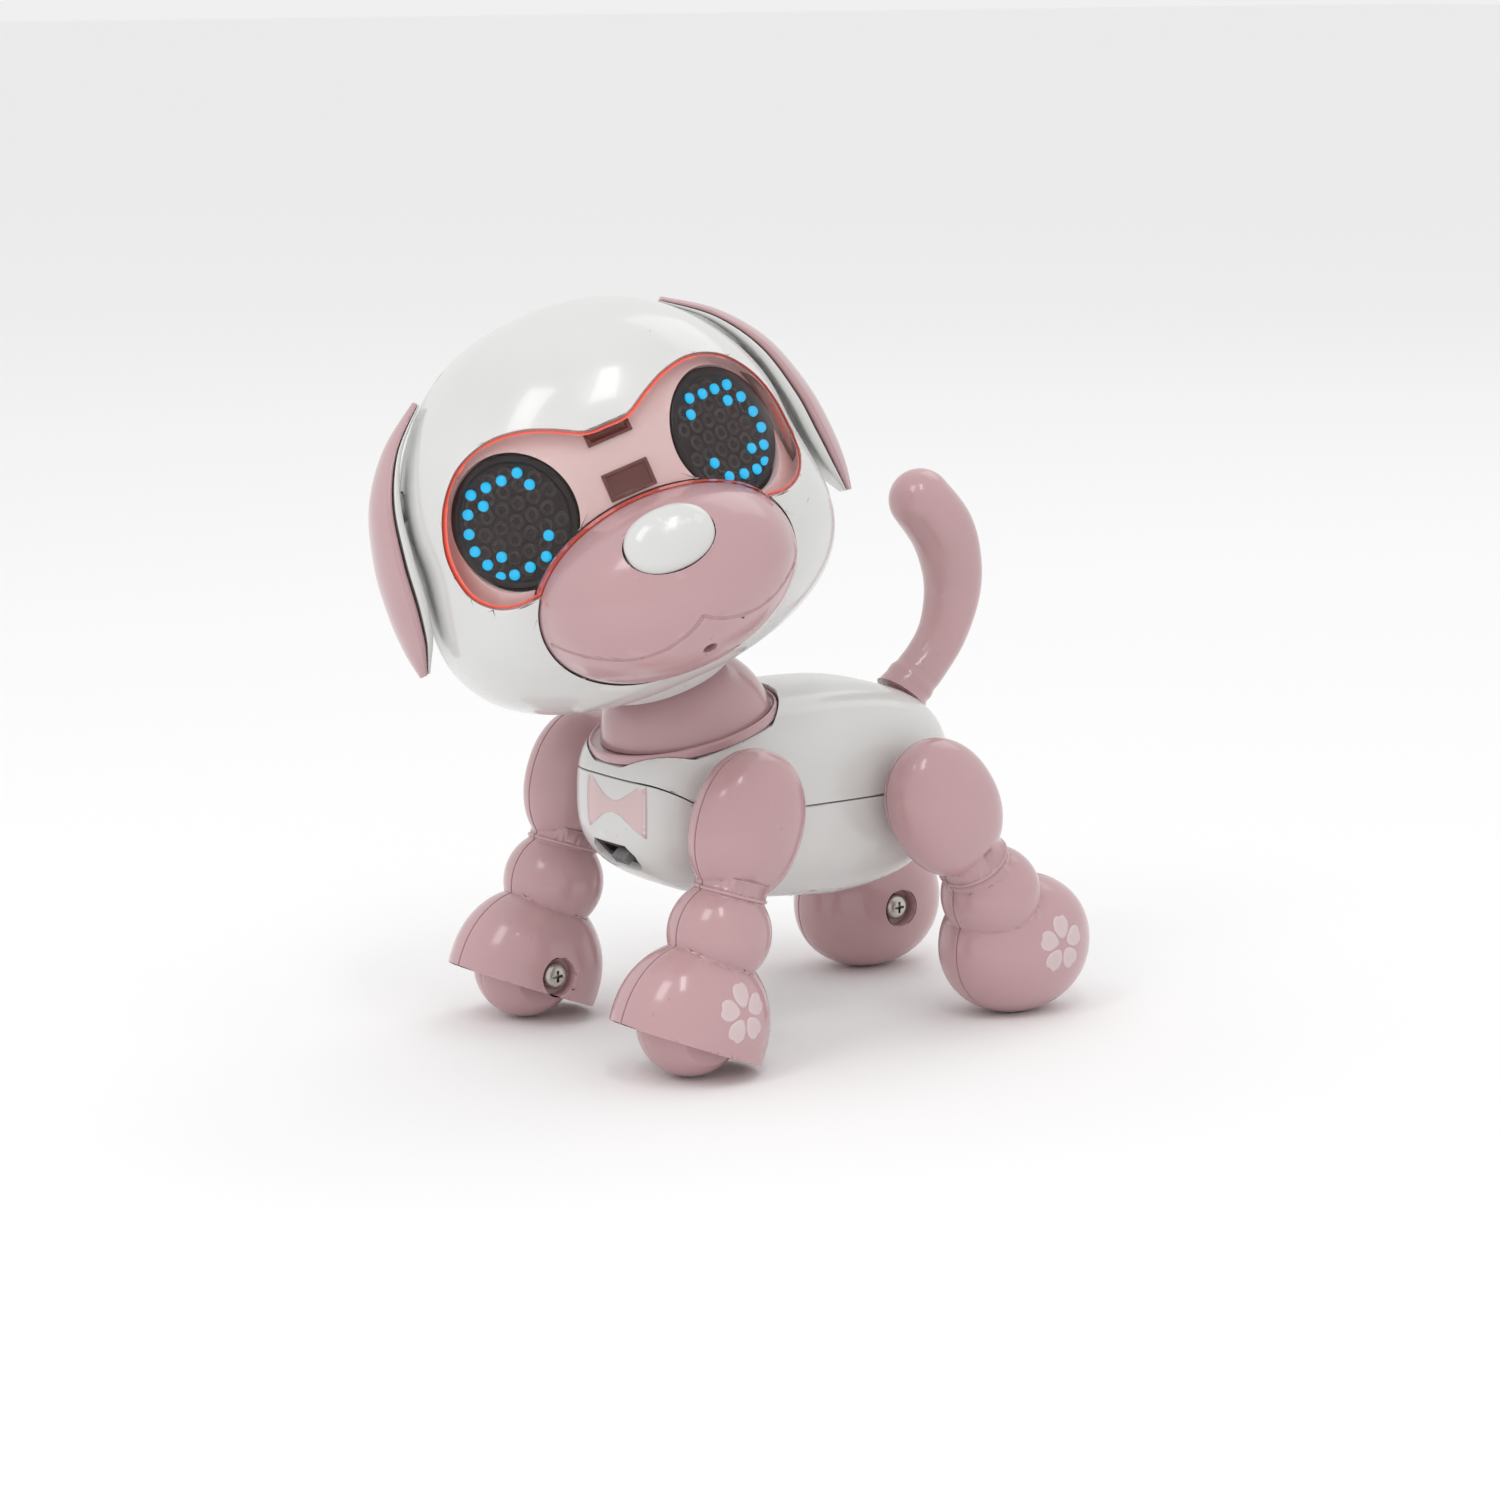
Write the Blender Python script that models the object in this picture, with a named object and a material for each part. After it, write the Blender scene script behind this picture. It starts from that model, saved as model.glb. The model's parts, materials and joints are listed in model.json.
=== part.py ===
"""Robot puppy toy: body, swivelling head with LED goggles, posable legs, ears and tail.

The puppy looks along -Y, +X is its left side and +Z is up.  Lengths are in millimetres and MM
turns them into metres where a mesh or an object is made.  Each assembly hangs from an empty on
its joint: the body, the neck swivel, the head, two ears, four legs and the tail.
"""

from math import asin, atan2, cos, pi, radians, sin, sqrt

import bmesh
import bpy
from mathutils import Matrix, Vector

MM = 0.001
GAP = 0.3                                   # air between pieces that touch on the real toy
WALL = 1.6                                  # thickness of the moulded shells
SCREW_HEAD = 1.0                            # height of a screw's head

STAND_AT = (-3.84, 8.92, 0.0)                 # brings the middle of the footprint to the origin

# Body: a rounded box in plan, its belly rising towards the chest.
BODY_AT = Vector((0.0, -2.4, 31.5))
BODY_SIZE = (13.4, 25.1, 15.3)              # half width, half length, depth below the middle
BODY_POWER = 2.87
BODY_PLAN_POWER = 3.6
BODY_TOP_SHARE = 0.855                      # height above the middle over the depth below it
SEAM_Z = 30.6
CHEST_SEAM_Z = 34.9

# The dish on the shoulders that the neck dome stands in.
BASE_AT = Vector((0.0, -15.3, 40.6))
BASE_TILT = radians(14.7)
BASE_RADIUS = 12.4

# Neck and head.  The swivel axis leans forward and meets the middle of the head.
NECK_AT = Vector((0.0, -15.2, 40.9))
NECK_TILT = radians(22.6)
HEAD_TURN = radians(71.3)
HEAD_LEVEL = radians(-17.9)
NECK_LENGTH = 31.2
DOME_RADIUS = 11.3
DOME_CENTRE = -1.75                         # along the swivel axis, from NECK_AT

HEAD_SIZE = (24.9, 25.1, 25.0)              # half width, half depth, half height
HEAD_RISE = 0.55
HEAD_POWER = 2.6
HEAD_FRONT_POWER = 2.3                      # seen from the front
HEAD_SEAM_Y = 2.0
HEAD_SCREW = (18.5, -11.0)                  # across and up
MUZZLE_AT = Vector((0.0, -16.5, -11.0))
MUZZLE_SIZE = (16.8, 17.3, 11.4)
MUZZLE_POWER = 2.4
MUZZLE_FRONT_POWER = 2.05
NOSE_AT = Vector((0.0, -32.2, -5.9))
NOSE_TILT = radians(-18.0)
NOSE_SIZE = (5.6, 2.2, 4.0)
NOSE_TRAVEL = 0.8
MIC_AT = Vector((0.0, -28.6, -20.0))
MIC_TILT = radians(48.0)

EYE_TOWARDS = Vector((17.1, -24.2, 3.0))
EYE_RADIUS = 8.2
EYE_DEPTH = 4.1                             # from the head's surface to the disc's face
EYE_THICK = 1.5

# Half outline of the goggle visor, from the notch between the eyes round to the muzzle.
VISOR_OUTLINE = [(0.0, 9.3), (2.9, 9.5), (6.2, 11.2), (9.5, 12.5), (13.5, 12.9), (17.6, 11.4),
                 (20.6, 8.1), (22.2, 4.2), (22.7, 0.5), (22.2, -3.3), (20.4, -5.7), (17.8, -6.6),
                 (14.5, -6.4), (7.0, -6.4)]

# Ears: the outer face's middle line (across, up), half width along it, and thickness.
EAR_AXIS_UP = radians(22.0)
EAR_SPINE = [(17.1, 21.1), (22.9, 17.0), (27.3, 11.2), (29.7, 4.0), (30.5, -2.2), (30.5, -7.2),
             (30.0, -10.8)]
EAR_HALF_WIDTH = [1.2, 3.9, 6.2, 7.2, 6.7, 4.9, 1.5]
EAR_THICK = [0.9, 2.0, 3.3, 4.2, 4.3, 3.3, 1.3]

# Legs: places in the leg's own plane (back, up) from the hip, and half sizes (across, back, up).
FRONT_HIP = Vector((18.9, -18.7, 30.7))
REAR_HIP = Vector((18.6, 12.7, 29.2))
FRONT_KNEE = Vector((0.0, -4.3, -13.2))
REAR_KNEE = Vector((-1.5, 9.1, -12.9))
FRONT_FOOT = Vector((0.0, -8.9, -24.9))
REAR_FOOT = Vector((-2.5, 13.9, -20.1))
THIGH_SIZE = (5.4, 7.7, 9.7)
KNEE_RADIUS = 6.6
LEG_NECK_RADIUS = 4.6                       # between thigh and knee
FRONT_FOOT_SIZE = (8.6, 10.5, 11.2)
REAR_FOOT_SIZE = (8.0, 10.9, 9.3)
FRONT_ROLLER = Vector((0.0, -8.9, -24.0))
BALL_RADIUS = 6.7
BALL_HALF_WIDTH = 5.1                       # the roller is a ball with flat sides
SOLE_BELOW_FOOT = 1.7                       # the front foot is cut off this far below its middle
HUB_RADIUS = 2.5

# Tail: its middle line in the plane of symmetry (back, up) and its radius along it.
TAIL_SPINE = [(20.0, 40.6), (21.0, 41.7), (24.2, 44.7), (26.9, 48.4), (28.4, 53.2), (28.3, 57.5),
              (26.6, 62.2), (23.0, 66.4)]
TAIL_RADIUS = [3.75, 3.35, 3.15, 3.3, 3.75, 4.1, 4.35, 4.2]
TAIL_LEAN = atan2(TAIL_SPINE[1][0] - TAIL_SPINE[0][0], TAIL_SPINE[1][1] - TAIL_SPINE[0][1])

# Body screws stand in posts (right and left in front, one behind); their heads sit in deep recesses.
BODY_SCREWS = [(4.0, -15.5), (-4.0, -15.5), (0.0, 17.6)]
SCREW_SEAT = 22.5

# Electrics: three 11.6 mm button cells in a row across the belly.
CELL_RADIUS = 5.8
CELL_LENGTH = 5.4
CELL_PITCH = 5.6
CELLS_AT = Vector((-8.3, 3.4, 26.7))
DOOR_HALF_WIDTH = 8.6
DOOR_FRONT, DOOR_BACK = -2.4, 14.9
DOOR_SCREW_Y = 12.5
SPEAKER_Y = -8.0
SWITCH_AT = Vector((0.0, -25.0, 24.9))
SWITCH_TILT = radians(-46.5)

PINK = (0.66, 0.33, 0.34)
WHITE = (0.80, 0.80, 0.78)
CLEAR_PINK = (0.75, 0.25, 0.22)
PALE_PINK = (0.62, 0.42, 0.42)
BLACK = (0.02, 0.02, 0.02)
STEEL = (0.55, 0.55, 0.53)
GREEN = (0.03, 0.20, 0.08)
COPPER = (0.70, 0.45, 0.20)


# ---------------------------------------------------------------- tools

def material(name, colour, roughness=0.3, metallic=0.0):
    """A plain Principled material."""
    made = bpy.data.materials.get(name)
    if made is None:
        made = bpy.data.materials.new(name)
        made.use_nodes = True
        shader = made.node_tree.nodes["Principled BSDF"]
        shader.inputs["Base Color"].default_value = (*colour, 1.0)
        shader.inputs["Roughness"].default_value = roughness
        shader.inputs["Metallic"].default_value = metallic
    return made


def empty(name, parent=None, at=(0, 0, 0), turn=(0, 0, 0)):
    """An empty that carries an assembly; turn is in radians, X first."""
    made = bpy.data.objects.new(name, None)
    bpy.context.scene.collection.objects.link(made)
    made.parent = parent
    made.location = Vector(at) * MM
    made.rotation_euler = turn
    return made


def piece(name, shape, parent, look, at=(0, 0, 0), turn=(0, 0, 0)):
    """A named part made from a bmesh in millimetres."""
    bmesh.ops.recalc_face_normals(shape, faces=shape.faces)
    bmesh.ops.scale(shape, vec=(MM, MM, MM), verts=shape.verts)
    mesh = bpy.data.meshes.new(name)
    shape.to_mesh(mesh)
    shape.free()
    mesh.shade_smooth()
    mesh.set_sharp_from_angle(angle=radians(35))
    made = bpy.data.objects.new(name, mesh)
    bpy.context.scene.collection.objects.link(made)
    made.parent = parent
    made.location = Vector(at) * MM
    made.rotation_euler = turn
    if look is not None:
        mesh.materials.append(look)
    return made


def tool(shape, parent, at=(0, 0, 0), turn=(0, 0, 0)):
    """A hidden body for Boolean modifiers."""
    made = piece("tool", shape, parent, None, at, turn)
    made.hide_render = True
    made.display_type = "WIRE"
    return made


def combine(target, operation, *others):
    """Adds one exact Boolean modifier that takes all the other bodies at once."""
    step = target.modifiers.new(operation.lower(), "BOOLEAN")
    step.operation = operation
    step.solver = "EXACT"
    if len(others) == 1:
        step.object = others[0]
    else:
        group = bpy.data.collections.new("tools")
        for other in others:
            group.objects.link(other)
        step.operand_type = "COLLECTION"
        step.collection = group


def combine_each(target, operation, *others):
    """Adds exact Boolean modifiers that take the other bodies one after another."""
    for other in others:
        combine(target, operation, other)


def oval(half, power, centre, point, pair=None, single=1):
    """Moves a point of the unit sphere out to a boxy ellipsoid.

    The two axes other than the single one are joined with the power pair, if that is given.
    """
    pair = pair or power
    share = [abs(point[k] / half[k]) for k in range(3)]
    flat = sum(share[k] ** pair for k in range(3) if k != single) ** (power / pair)
    return Vector(centre) + Vector(point) * (flat + share[single] ** power) ** (-1.0 / power)


def blob(half, power=2.0, centre=(0, 0, 0), around=16, along=8, across=False, bend=None, pair=None,
         single=1):
    """A boxy ellipsoid; across turns its poles to X, and bend moves its finished points."""
    shape = bmesh.new()
    bmesh.ops.create_uvsphere(shape, u_segments=around, v_segments=along, radius=1.0)
    if across:
        bmesh.ops.rotate(shape, matrix=Matrix.Rotation(pi / 2, 3, "Y"), verts=shape.verts)
    for vert in shape.verts:
        vert.co = oval(half, power, centre, vert.co.normalized(), pair, single)
        if bend:
            vert.co = bend(vert.co)
    return shape


def turned(profile, steps=20, closed=False):
    """A body of revolution about Z from (radius, height) points; closed makes a ring."""
    shape = bmesh.new()
    verts = [shape.verts.new((r, 0.0, z)) for r, z in profile]
    pairs = list(zip(verts, verts[1:])) + ([(verts[-1], verts[0])] if closed else [])
    edges = [shape.edges.new(pair) for pair in pairs]
    bmesh.ops.spin(shape, geom=verts + edges, axis=(0, 0, 1), cent=(0, 0, 0), dvec=(0, 0, 0),
                   angle=2 * pi, steps=steps, use_merge=True)
    bmesh.ops.remove_doubles(shape, verts=shape.verts, dist=1e-4)
    return shape


def rod(radius, low, high, steps=14):
    """A cylinder along Z."""
    return turned([(0, low), (radius, low), (radius, high), (0, high)], steps)


def tube(inner, outer, low, high, steps=16):
    """A ring of square section about Z."""
    return turned([(inner, low), (outer, low), (outer, high), (inner, high)], steps, closed=True)


def block(low, high):
    """A box between two corners."""
    shape = bmesh.new()
    size = [b - a for a, b in zip(low, high)]
    middle = [(a + b) / 2 for a, b in zip(low, high)]
    bmesh.ops.create_cube(shape, size=1.0)
    bmesh.ops.scale(shape, vec=size, verts=shape.verts)
    bmesh.ops.translate(shape, vec=middle, verts=shape.verts)
    return shape


def prism(outline, low, high, axis):
    """An outline pushed from low to high along axis ('X' or 'Y'); points are the other two axes."""
    def place(u, v, w):
        return (w, u, v) if axis == "X" else (u, w, v)
    shape = bmesh.new()
    face = shape.faces.new([shape.verts.new(place(u, v, low)) for u, v in outline])
    far = bmesh.ops.extrude_face_region(shape, geom=[face])["geom"]
    moved = [g for g in far if isinstance(g, bmesh.types.BMVert)]
    push = (high - low, 0, 0) if axis == "X" else (0, high - low, 0)
    bmesh.ops.translate(shape, vec=push, verts=moved)
    return shape


def grown(outline, by):
    """An outline moved outwards by a distance, point by point."""
    count, moved = len(outline), []
    for i, (u, v) in enumerate(outline):
        before, after = outline[i - 1], outline[(i + 1) % count]
        along = (Vector(after) - Vector(before)).normalized()
        moved.append((u - along.y * by, v + along.x * by))
    return moved


def screw(length, head=1.9, shaft=0.95):
    """A small screw along Z: head up to z = 0, shaft down."""
    profile = [(0, 0), (head, 0), (head, -SCREW_HEAD), (shaft, -SCREW_HEAD), (shaft, -length), (0, -length)]
    return turned(profile, 10)


def smooth_step(edge0, edge1, value):
    """0 below edge0, 1 above edge1, and a soft change between."""
    t = min(1.0, max(0.0, (value - edge0) / (edge1 - edge0)))
    return t * t * (3 - 2 * t)


# ---------------------------------------------------------------- body

def body_bend(point):
    """Flattens the back and lifts the belly towards the chest."""
    away = point - BODY_AT
    if away.z > 0:
        away.z *= BODY_TOP_SHARE
    else:
        away.z *= 1.0 - 0.006 * max(0.0, 6.0 - away.y)
    return BODY_AT + away


def body_blob(inset=0.0, around=28, along=14):
    """The body's outer surface, or one a distance inside it."""
    half = [s - inset for s in BODY_SIZE]
    return blob(half, BODY_POWER, BODY_AT, around, along, bend=body_bend, pair=BODY_PLAN_POWER, single=2)


def below_seam(shift):
    """The space under the seam between the body's halves; the seam climbs at the chest."""
    seam = [(40, SEAM_Z), (-15.5, SEAM_Z), (-19.5, 31.5), (-23.5, 33.7), (-26.5, CHEST_SEAM_Z),
            (-40, CHEST_SEAM_Z)]
    outline = [(y, z + shift) for y, z in seam] + [(-40, 0), (40, 0)]
    return prism(outline, -20, 20, "X")


def tail_room(body):
    """The round seat of the tail in the rump, with the hole for its peg."""
    seat = TAIL_RADIUS[0] + GAP
    step = [(0, -8), (2.3, -8), (2.3, -0.3), (seat, -0.3), (seat, 6), (0, 6)]
    return tool(turned(step, 16), body, (0, *TAIL_SPINE[0]), (-TAIL_LEAN, 0, 0))


def hub_holes(body):
    """Holes for the four leg hubs, in the sides of the body."""
    return [tool(rod(HUB_RADIUS + GAP, 7, 20, 16), body, (0, hip.y, hip.z), (0, side * pi / 2, 0))
            for hip in (FRONT_HIP, REAR_HIP) for side in (1, -1)]


def build_body(body):
    """Shells, neck base and dome, door, switch, cells, board and speaker."""
    white = material("white_gloss", WHITE, 0.18)
    pink = material("pink_gloss", PINK, 0.2)
    steel = material("steel", STEEL, 0.3, 1.0)
    black = material("black_plastic", BLACK, 0.4)
    neck_turn = (NECK_TILT, 0, 0)
    base_turn = (BASE_TILT, 0, 0)

    # The cavity stops under the neck, which leaves a floor for the neck base.
    cavity = tool(body_blob(WALL, 20, 10), body)
    combine(cavity, "DIFFERENCE", tool(block((-20, -30, -3.2), (20, 30, 30)), body, BASE_AT, base_turn))
    seat = BASE_RADIUS + GAP
    step = [(0, -8), (2.6, -8), (2.6, -1.1), (seat, -1.1), (seat, 25), (0, 25)]
    pocket = tool(turned(step, 28), body, BASE_AT, base_turn)

    # Screw posts stand in the lower shell and hang in the upper one, 0.3 mm apart.
    holes = hub_holes(body)
    low_posts, high_posts, screw_holes = [], [], []
    for number, (x, y) in enumerate(BODY_SCREWS, 1):
        low_posts.append(tool(rod(2.4, 0, 27.0, 12), body, (x, y, 0)))
        combine(low_posts[-1], "INTERSECT", tool(body_blob(0.2, 20, 10), body))
        top = 38.2 if x else 34.4
        post = [(0, 33.4), (1.15, 33.4), (1.15, 27.3), (2.4, 27.3), (2.4, top), (0, top)]
        high_posts.append(tool(turned(post, 12), body, (x, y, 0)))
        step = [(0, 5), (2.05, 5), (2.05, SCREW_SEAT), (1.15, SCREW_SEAT), (1.15, 40), (0, 40)]
        screw_holes.append(tool(turned(step, 12), body, (x, y, 0)))
        spot = (x, y, SCREW_SEAT - GAP - SCREW_HEAD)
        piece(f"body_screw_{number}", screw(9.5), body, steel, spot, (pi, 0, 0))

    brace = tool(block((-0.55, 1.8, 31.0), (0.65, 12, 34.0)), body, (*BODY_SCREWS[-1], 0))
    combine(brace, "INTERSECT", tool(body_blob(0.2, 20, 10), body))
    high_posts.append(brace)

    upper = piece("body_upper_shell", body_blob(), body, white)
    combine_each(upper, "DIFFERENCE", cavity, tool(below_seam(GAP / 2), body))
    combine_each(upper, "UNION", *high_posts)
    combine_each(upper, "DIFFERENCE", pocket, *holes, tail_room(body))

    lower = piece("body_lower_shell", body_blob(), body, white)
    combine(lower, "DIFFERENCE", cavity)
    rib = tool(block((-13, DOOR_SCREW_Y - 1.3, 22.1), (13, DOOR_SCREW_Y + 1.2, 24.6)), body)
    combine(rib, "INTERSECT", tool(body_blob(0.2, 20, 10), body))
    combine(lower, "UNION", *low_posts, rib)
    above = tool(block((-19, -39, 2), (19, 39, 60)), body)
    combine(above, "DIFFERENCE", tool(below_seam(-GAP / 2), body))
    spots = [(0, 0), (2.4, 0), (-2.4, 0), (0, 2.4), (0, -2.4)]
    sound = [tool(rod(0.7, 10, 20, 8), body, (x, SPEAKER_Y + y, 0)) for x, y in spots]
    opening = block((-DOOR_HALF_WIDTH - GAP, DOOR_FRONT - GAP, 5),
                    (DOOR_HALF_WIDTH + GAP, DOOR_BACK + GAP, 21.4))
    slot = tool(block((-4.6, -2.2, -8), (4.6, 2.2, 3.5)), body, SWITCH_AT, (SWITCH_TILT, 0, 0))
    rib_hole = tool(rod(0.95, 21.8, 30, 8), body, (0, DOOR_SCREW_Y, 0))
    combine(lower, "DIFFERENCE", above, *holes, *screw_holes, *sound, tool(opening, body), slot, rib_hole)

    build_battery(body, steel, white)
    build_switch(body, black)

    # Neck base and dome.
    rim = BASE_RADIUS
    dish = [(0, -0.8), (rim, -0.8), (rim, 0.2), (rim - 0.3, 0.5), (rim - 0.6, -0.1), (0, -0.1)]
    piece("neck_base", turned(dish, 32), body, pink, BASE_AT, base_turn)
    edge, top = -3.5, 7.8
    arc = [edge + (top - edge) * i / 7 for i in range(8)]
    dome = [(0, edge)] + [(sqrt(DOME_RADIUS ** 2 - (s - DOME_CENTRE) ** 2), s) for s in arc]
    dome += [(4.5, top), (4.5, 10.3), (1.15, 10.3), (1.15, 5.0), (0, 5.0)]
    dome = piece("neck_dome", turned(dome, 28), body, pink, NECK_AT, neck_turn)
    combine(dome, "DIFFERENCE", tool(block((-20, -20, -20), (20, 20, 0.2)), body, BASE_AT, base_turn))
    piece("neck_washer", tube(1.4, 7.0, 10.6, 11.6, 20), body, steel, NECK_AT, neck_turn)
    neck_way = Vector((0, -sin(NECK_TILT), cos(NECK_TILT)))
    piece("neck_screw", screw(6.5), body, steel, NECK_AT + neck_way * 12.9, neck_turn)

    # Speaker over its sound holes, and the main board above the cells.
    speaker = [(0, 0), (2.8, 0.6), (4.4, 0), (5.2, 0), (5.2, 1.2), (3.4, 1.6), (3.4, 3.0), (0, 3.0)]
    piece("speaker", turned(speaker, 18), body, black, (0, SPEAKER_Y, 20.4))
    board = piece("main_board", block((-7.5, -4, 34.8), (7.5, 11.5, 35.8)), body,
                  material("board", GREEN, 0.5))
    chips = [((-3, 0, 35.7), (3, 6, 37.2)), ((-5, 8, 35.7), (5, 10, 36.8)), ((3, -3, 33.4), (6, 0, 34.9))]
    for low, high in chips:
        combine(board, "UNION", tool(block(low, high), body))


def build_battery(body, steel, white):
    """Button cells between their contacts, and the door in the belly with its screw."""
    brass = material("contact_metal", COPPER, 0.3, 1.0)
    across = (0, pi / 2, 0)
    cell = [(0, 0), (4.6, 0), (4.6, 0.4), (CELL_RADIUS, 0.7), (CELL_RADIUS, CELL_LENGTH), (0, CELL_LENGTH)]
    for i in range(3):
        spot = CELLS_AT + Vector((CELL_PITCH * i, 0, 0))
        piece(f"button_cell_{i + 1}", turned(cell, 20), body, steel, spot, across)
    right, left = CELLS_AT.x - GAP, CELLS_AT.x + 2 * CELL_PITCH + CELL_LENGTH + GAP
    spring = [(0, 0), (1.2, 0), (2.6, 1.2), (4.2, 1.2), (4.2, 1.6), (0, 1.6)]
    piece("contact_minus", turned(spring, 14), body, brass, (right, CELLS_AT.y, CELLS_AT.z),
          (0, -pi / 2, 0))
    piece("contact_plus", block((left, 0, 22.7), (left + 0.4, 8, 30.7)), body, brass)

    # The door's tab has a stepped hole; its screw goes up into a rib of the lower shell.
    door = piece("battery_door", body_blob(), body, white)
    panel = block((-DOOR_HALF_WIDTH, DOOR_FRONT, 5), (DOOR_HALF_WIDTH, DOOR_BACK, 21.1))
    combine(door, "INTERSECT", tool(panel, body))
    combine(door, "DIFFERENCE", tool(body_blob(WALL, 20, 10), body))
    combine(door, "UNION", tool(rod(2.2, 17.6, 21.8, 14), body, (0, DOOR_SCREW_Y, 0)))
    step = [(0, 10), (1.9, 10), (1.9, 18.9), (0.95, 18.9), (0.95, 25), (0, 25)]
    combine(door, "DIFFERENCE", tool(turned(step, 12), body, (0, DOOR_SCREW_Y, 0)))
    piece("battery_door_screw", screw(6.4, 1.6, 0.75), body, steel, (0, DOOR_SCREW_Y, 17.6), (pi, 0, 0))


def build_switch(body, black):
    """Slide switch across the lower chest, set in a slot of the lower shell."""
    turn = (SWITCH_TILT, 0, 0)
    case = piece("switch_case", block((-4.3, -1.9, 0.0), (4.3, 1.9, 3.2)), body, black, SWITCH_AT, turn)
    combine(case, "DIFFERENCE", tool(block((-3.2, -0.9, -3), (3.2, 0.9, 1.4)), body, SWITCH_AT, turn))
    piece("switch_knob", block((-0.2, -0.6, -1.3), (2.7, 0.6, 1.1)), body,
          material("grey_plastic", (0.25, 0.25, 0.25), 0.4), SWITCH_AT, turn)


# ---------------------------------------------------------------- head

def head_bend(point):
    """Widens the cheeks, narrows the crown and lifts the head's underside towards the back."""
    made = point.copy()
    made.x *= 1.0 + 0.24 * smooth_step(2, -24, point.z) - 0.07 * smooth_step(4, 24, point.z)
    if made.z < 0 and made.y > 0:
        made.z *= 1.0 - 0.008 * made.y
    made.z += HEAD_RISE
    return made


def head_blob(inset=0.0, around=28, along=14):
    """The head's outer surface, or one a distance inside it."""
    half = [s - inset for s in HEAD_SIZE]
    return blob(half, HEAD_POWER, (0, 0, 0), around, along, bend=head_bend, pair=HEAD_FRONT_POWER)


def muzzle_blob(inset=0.0, around=20, along=10):
    """The muzzle's outer surface, or one a distance inside it."""
    half = [s - inset for s in MUZZLE_SIZE]
    return blob(half, MUZZLE_POWER, MUZZLE_AT, around, along, pair=MUZZLE_FRONT_POWER)


def visor_outline():
    """The whole goggle outline, anticlockwise seen from the front."""
    return VISOR_OUTLINE + [(-x, z) for x, z in reversed(VISOR_OUTLINE) if x > 0]


def eye_place(side):
    """Middle and way out of an eye disc's face, from the head's surface and its slope there."""
    towards = Vector((side * EYE_TOWARDS.x, EYE_TOWARDS.y, EYE_TOWARDS.z)).normalized()
    skin = oval(HEAD_SIZE, HEAD_POWER, (0, 0, HEAD_RISE), towards, HEAD_FRONT_POWER)
    slope = [abs(skin[k] / HEAD_SIZE[k]) ** (HEAD_POWER - 1) / HEAD_SIZE[k] for k in range(3)]
    out = Vector((side * slope[0], -slope[1], slope[2])).normalized()
    return skin - out * EYE_DEPTH, out


def facing(way):
    """Rotation that points Z along a direction."""
    return Vector(way).to_track_quat("Z", "Y").to_euler()


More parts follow.
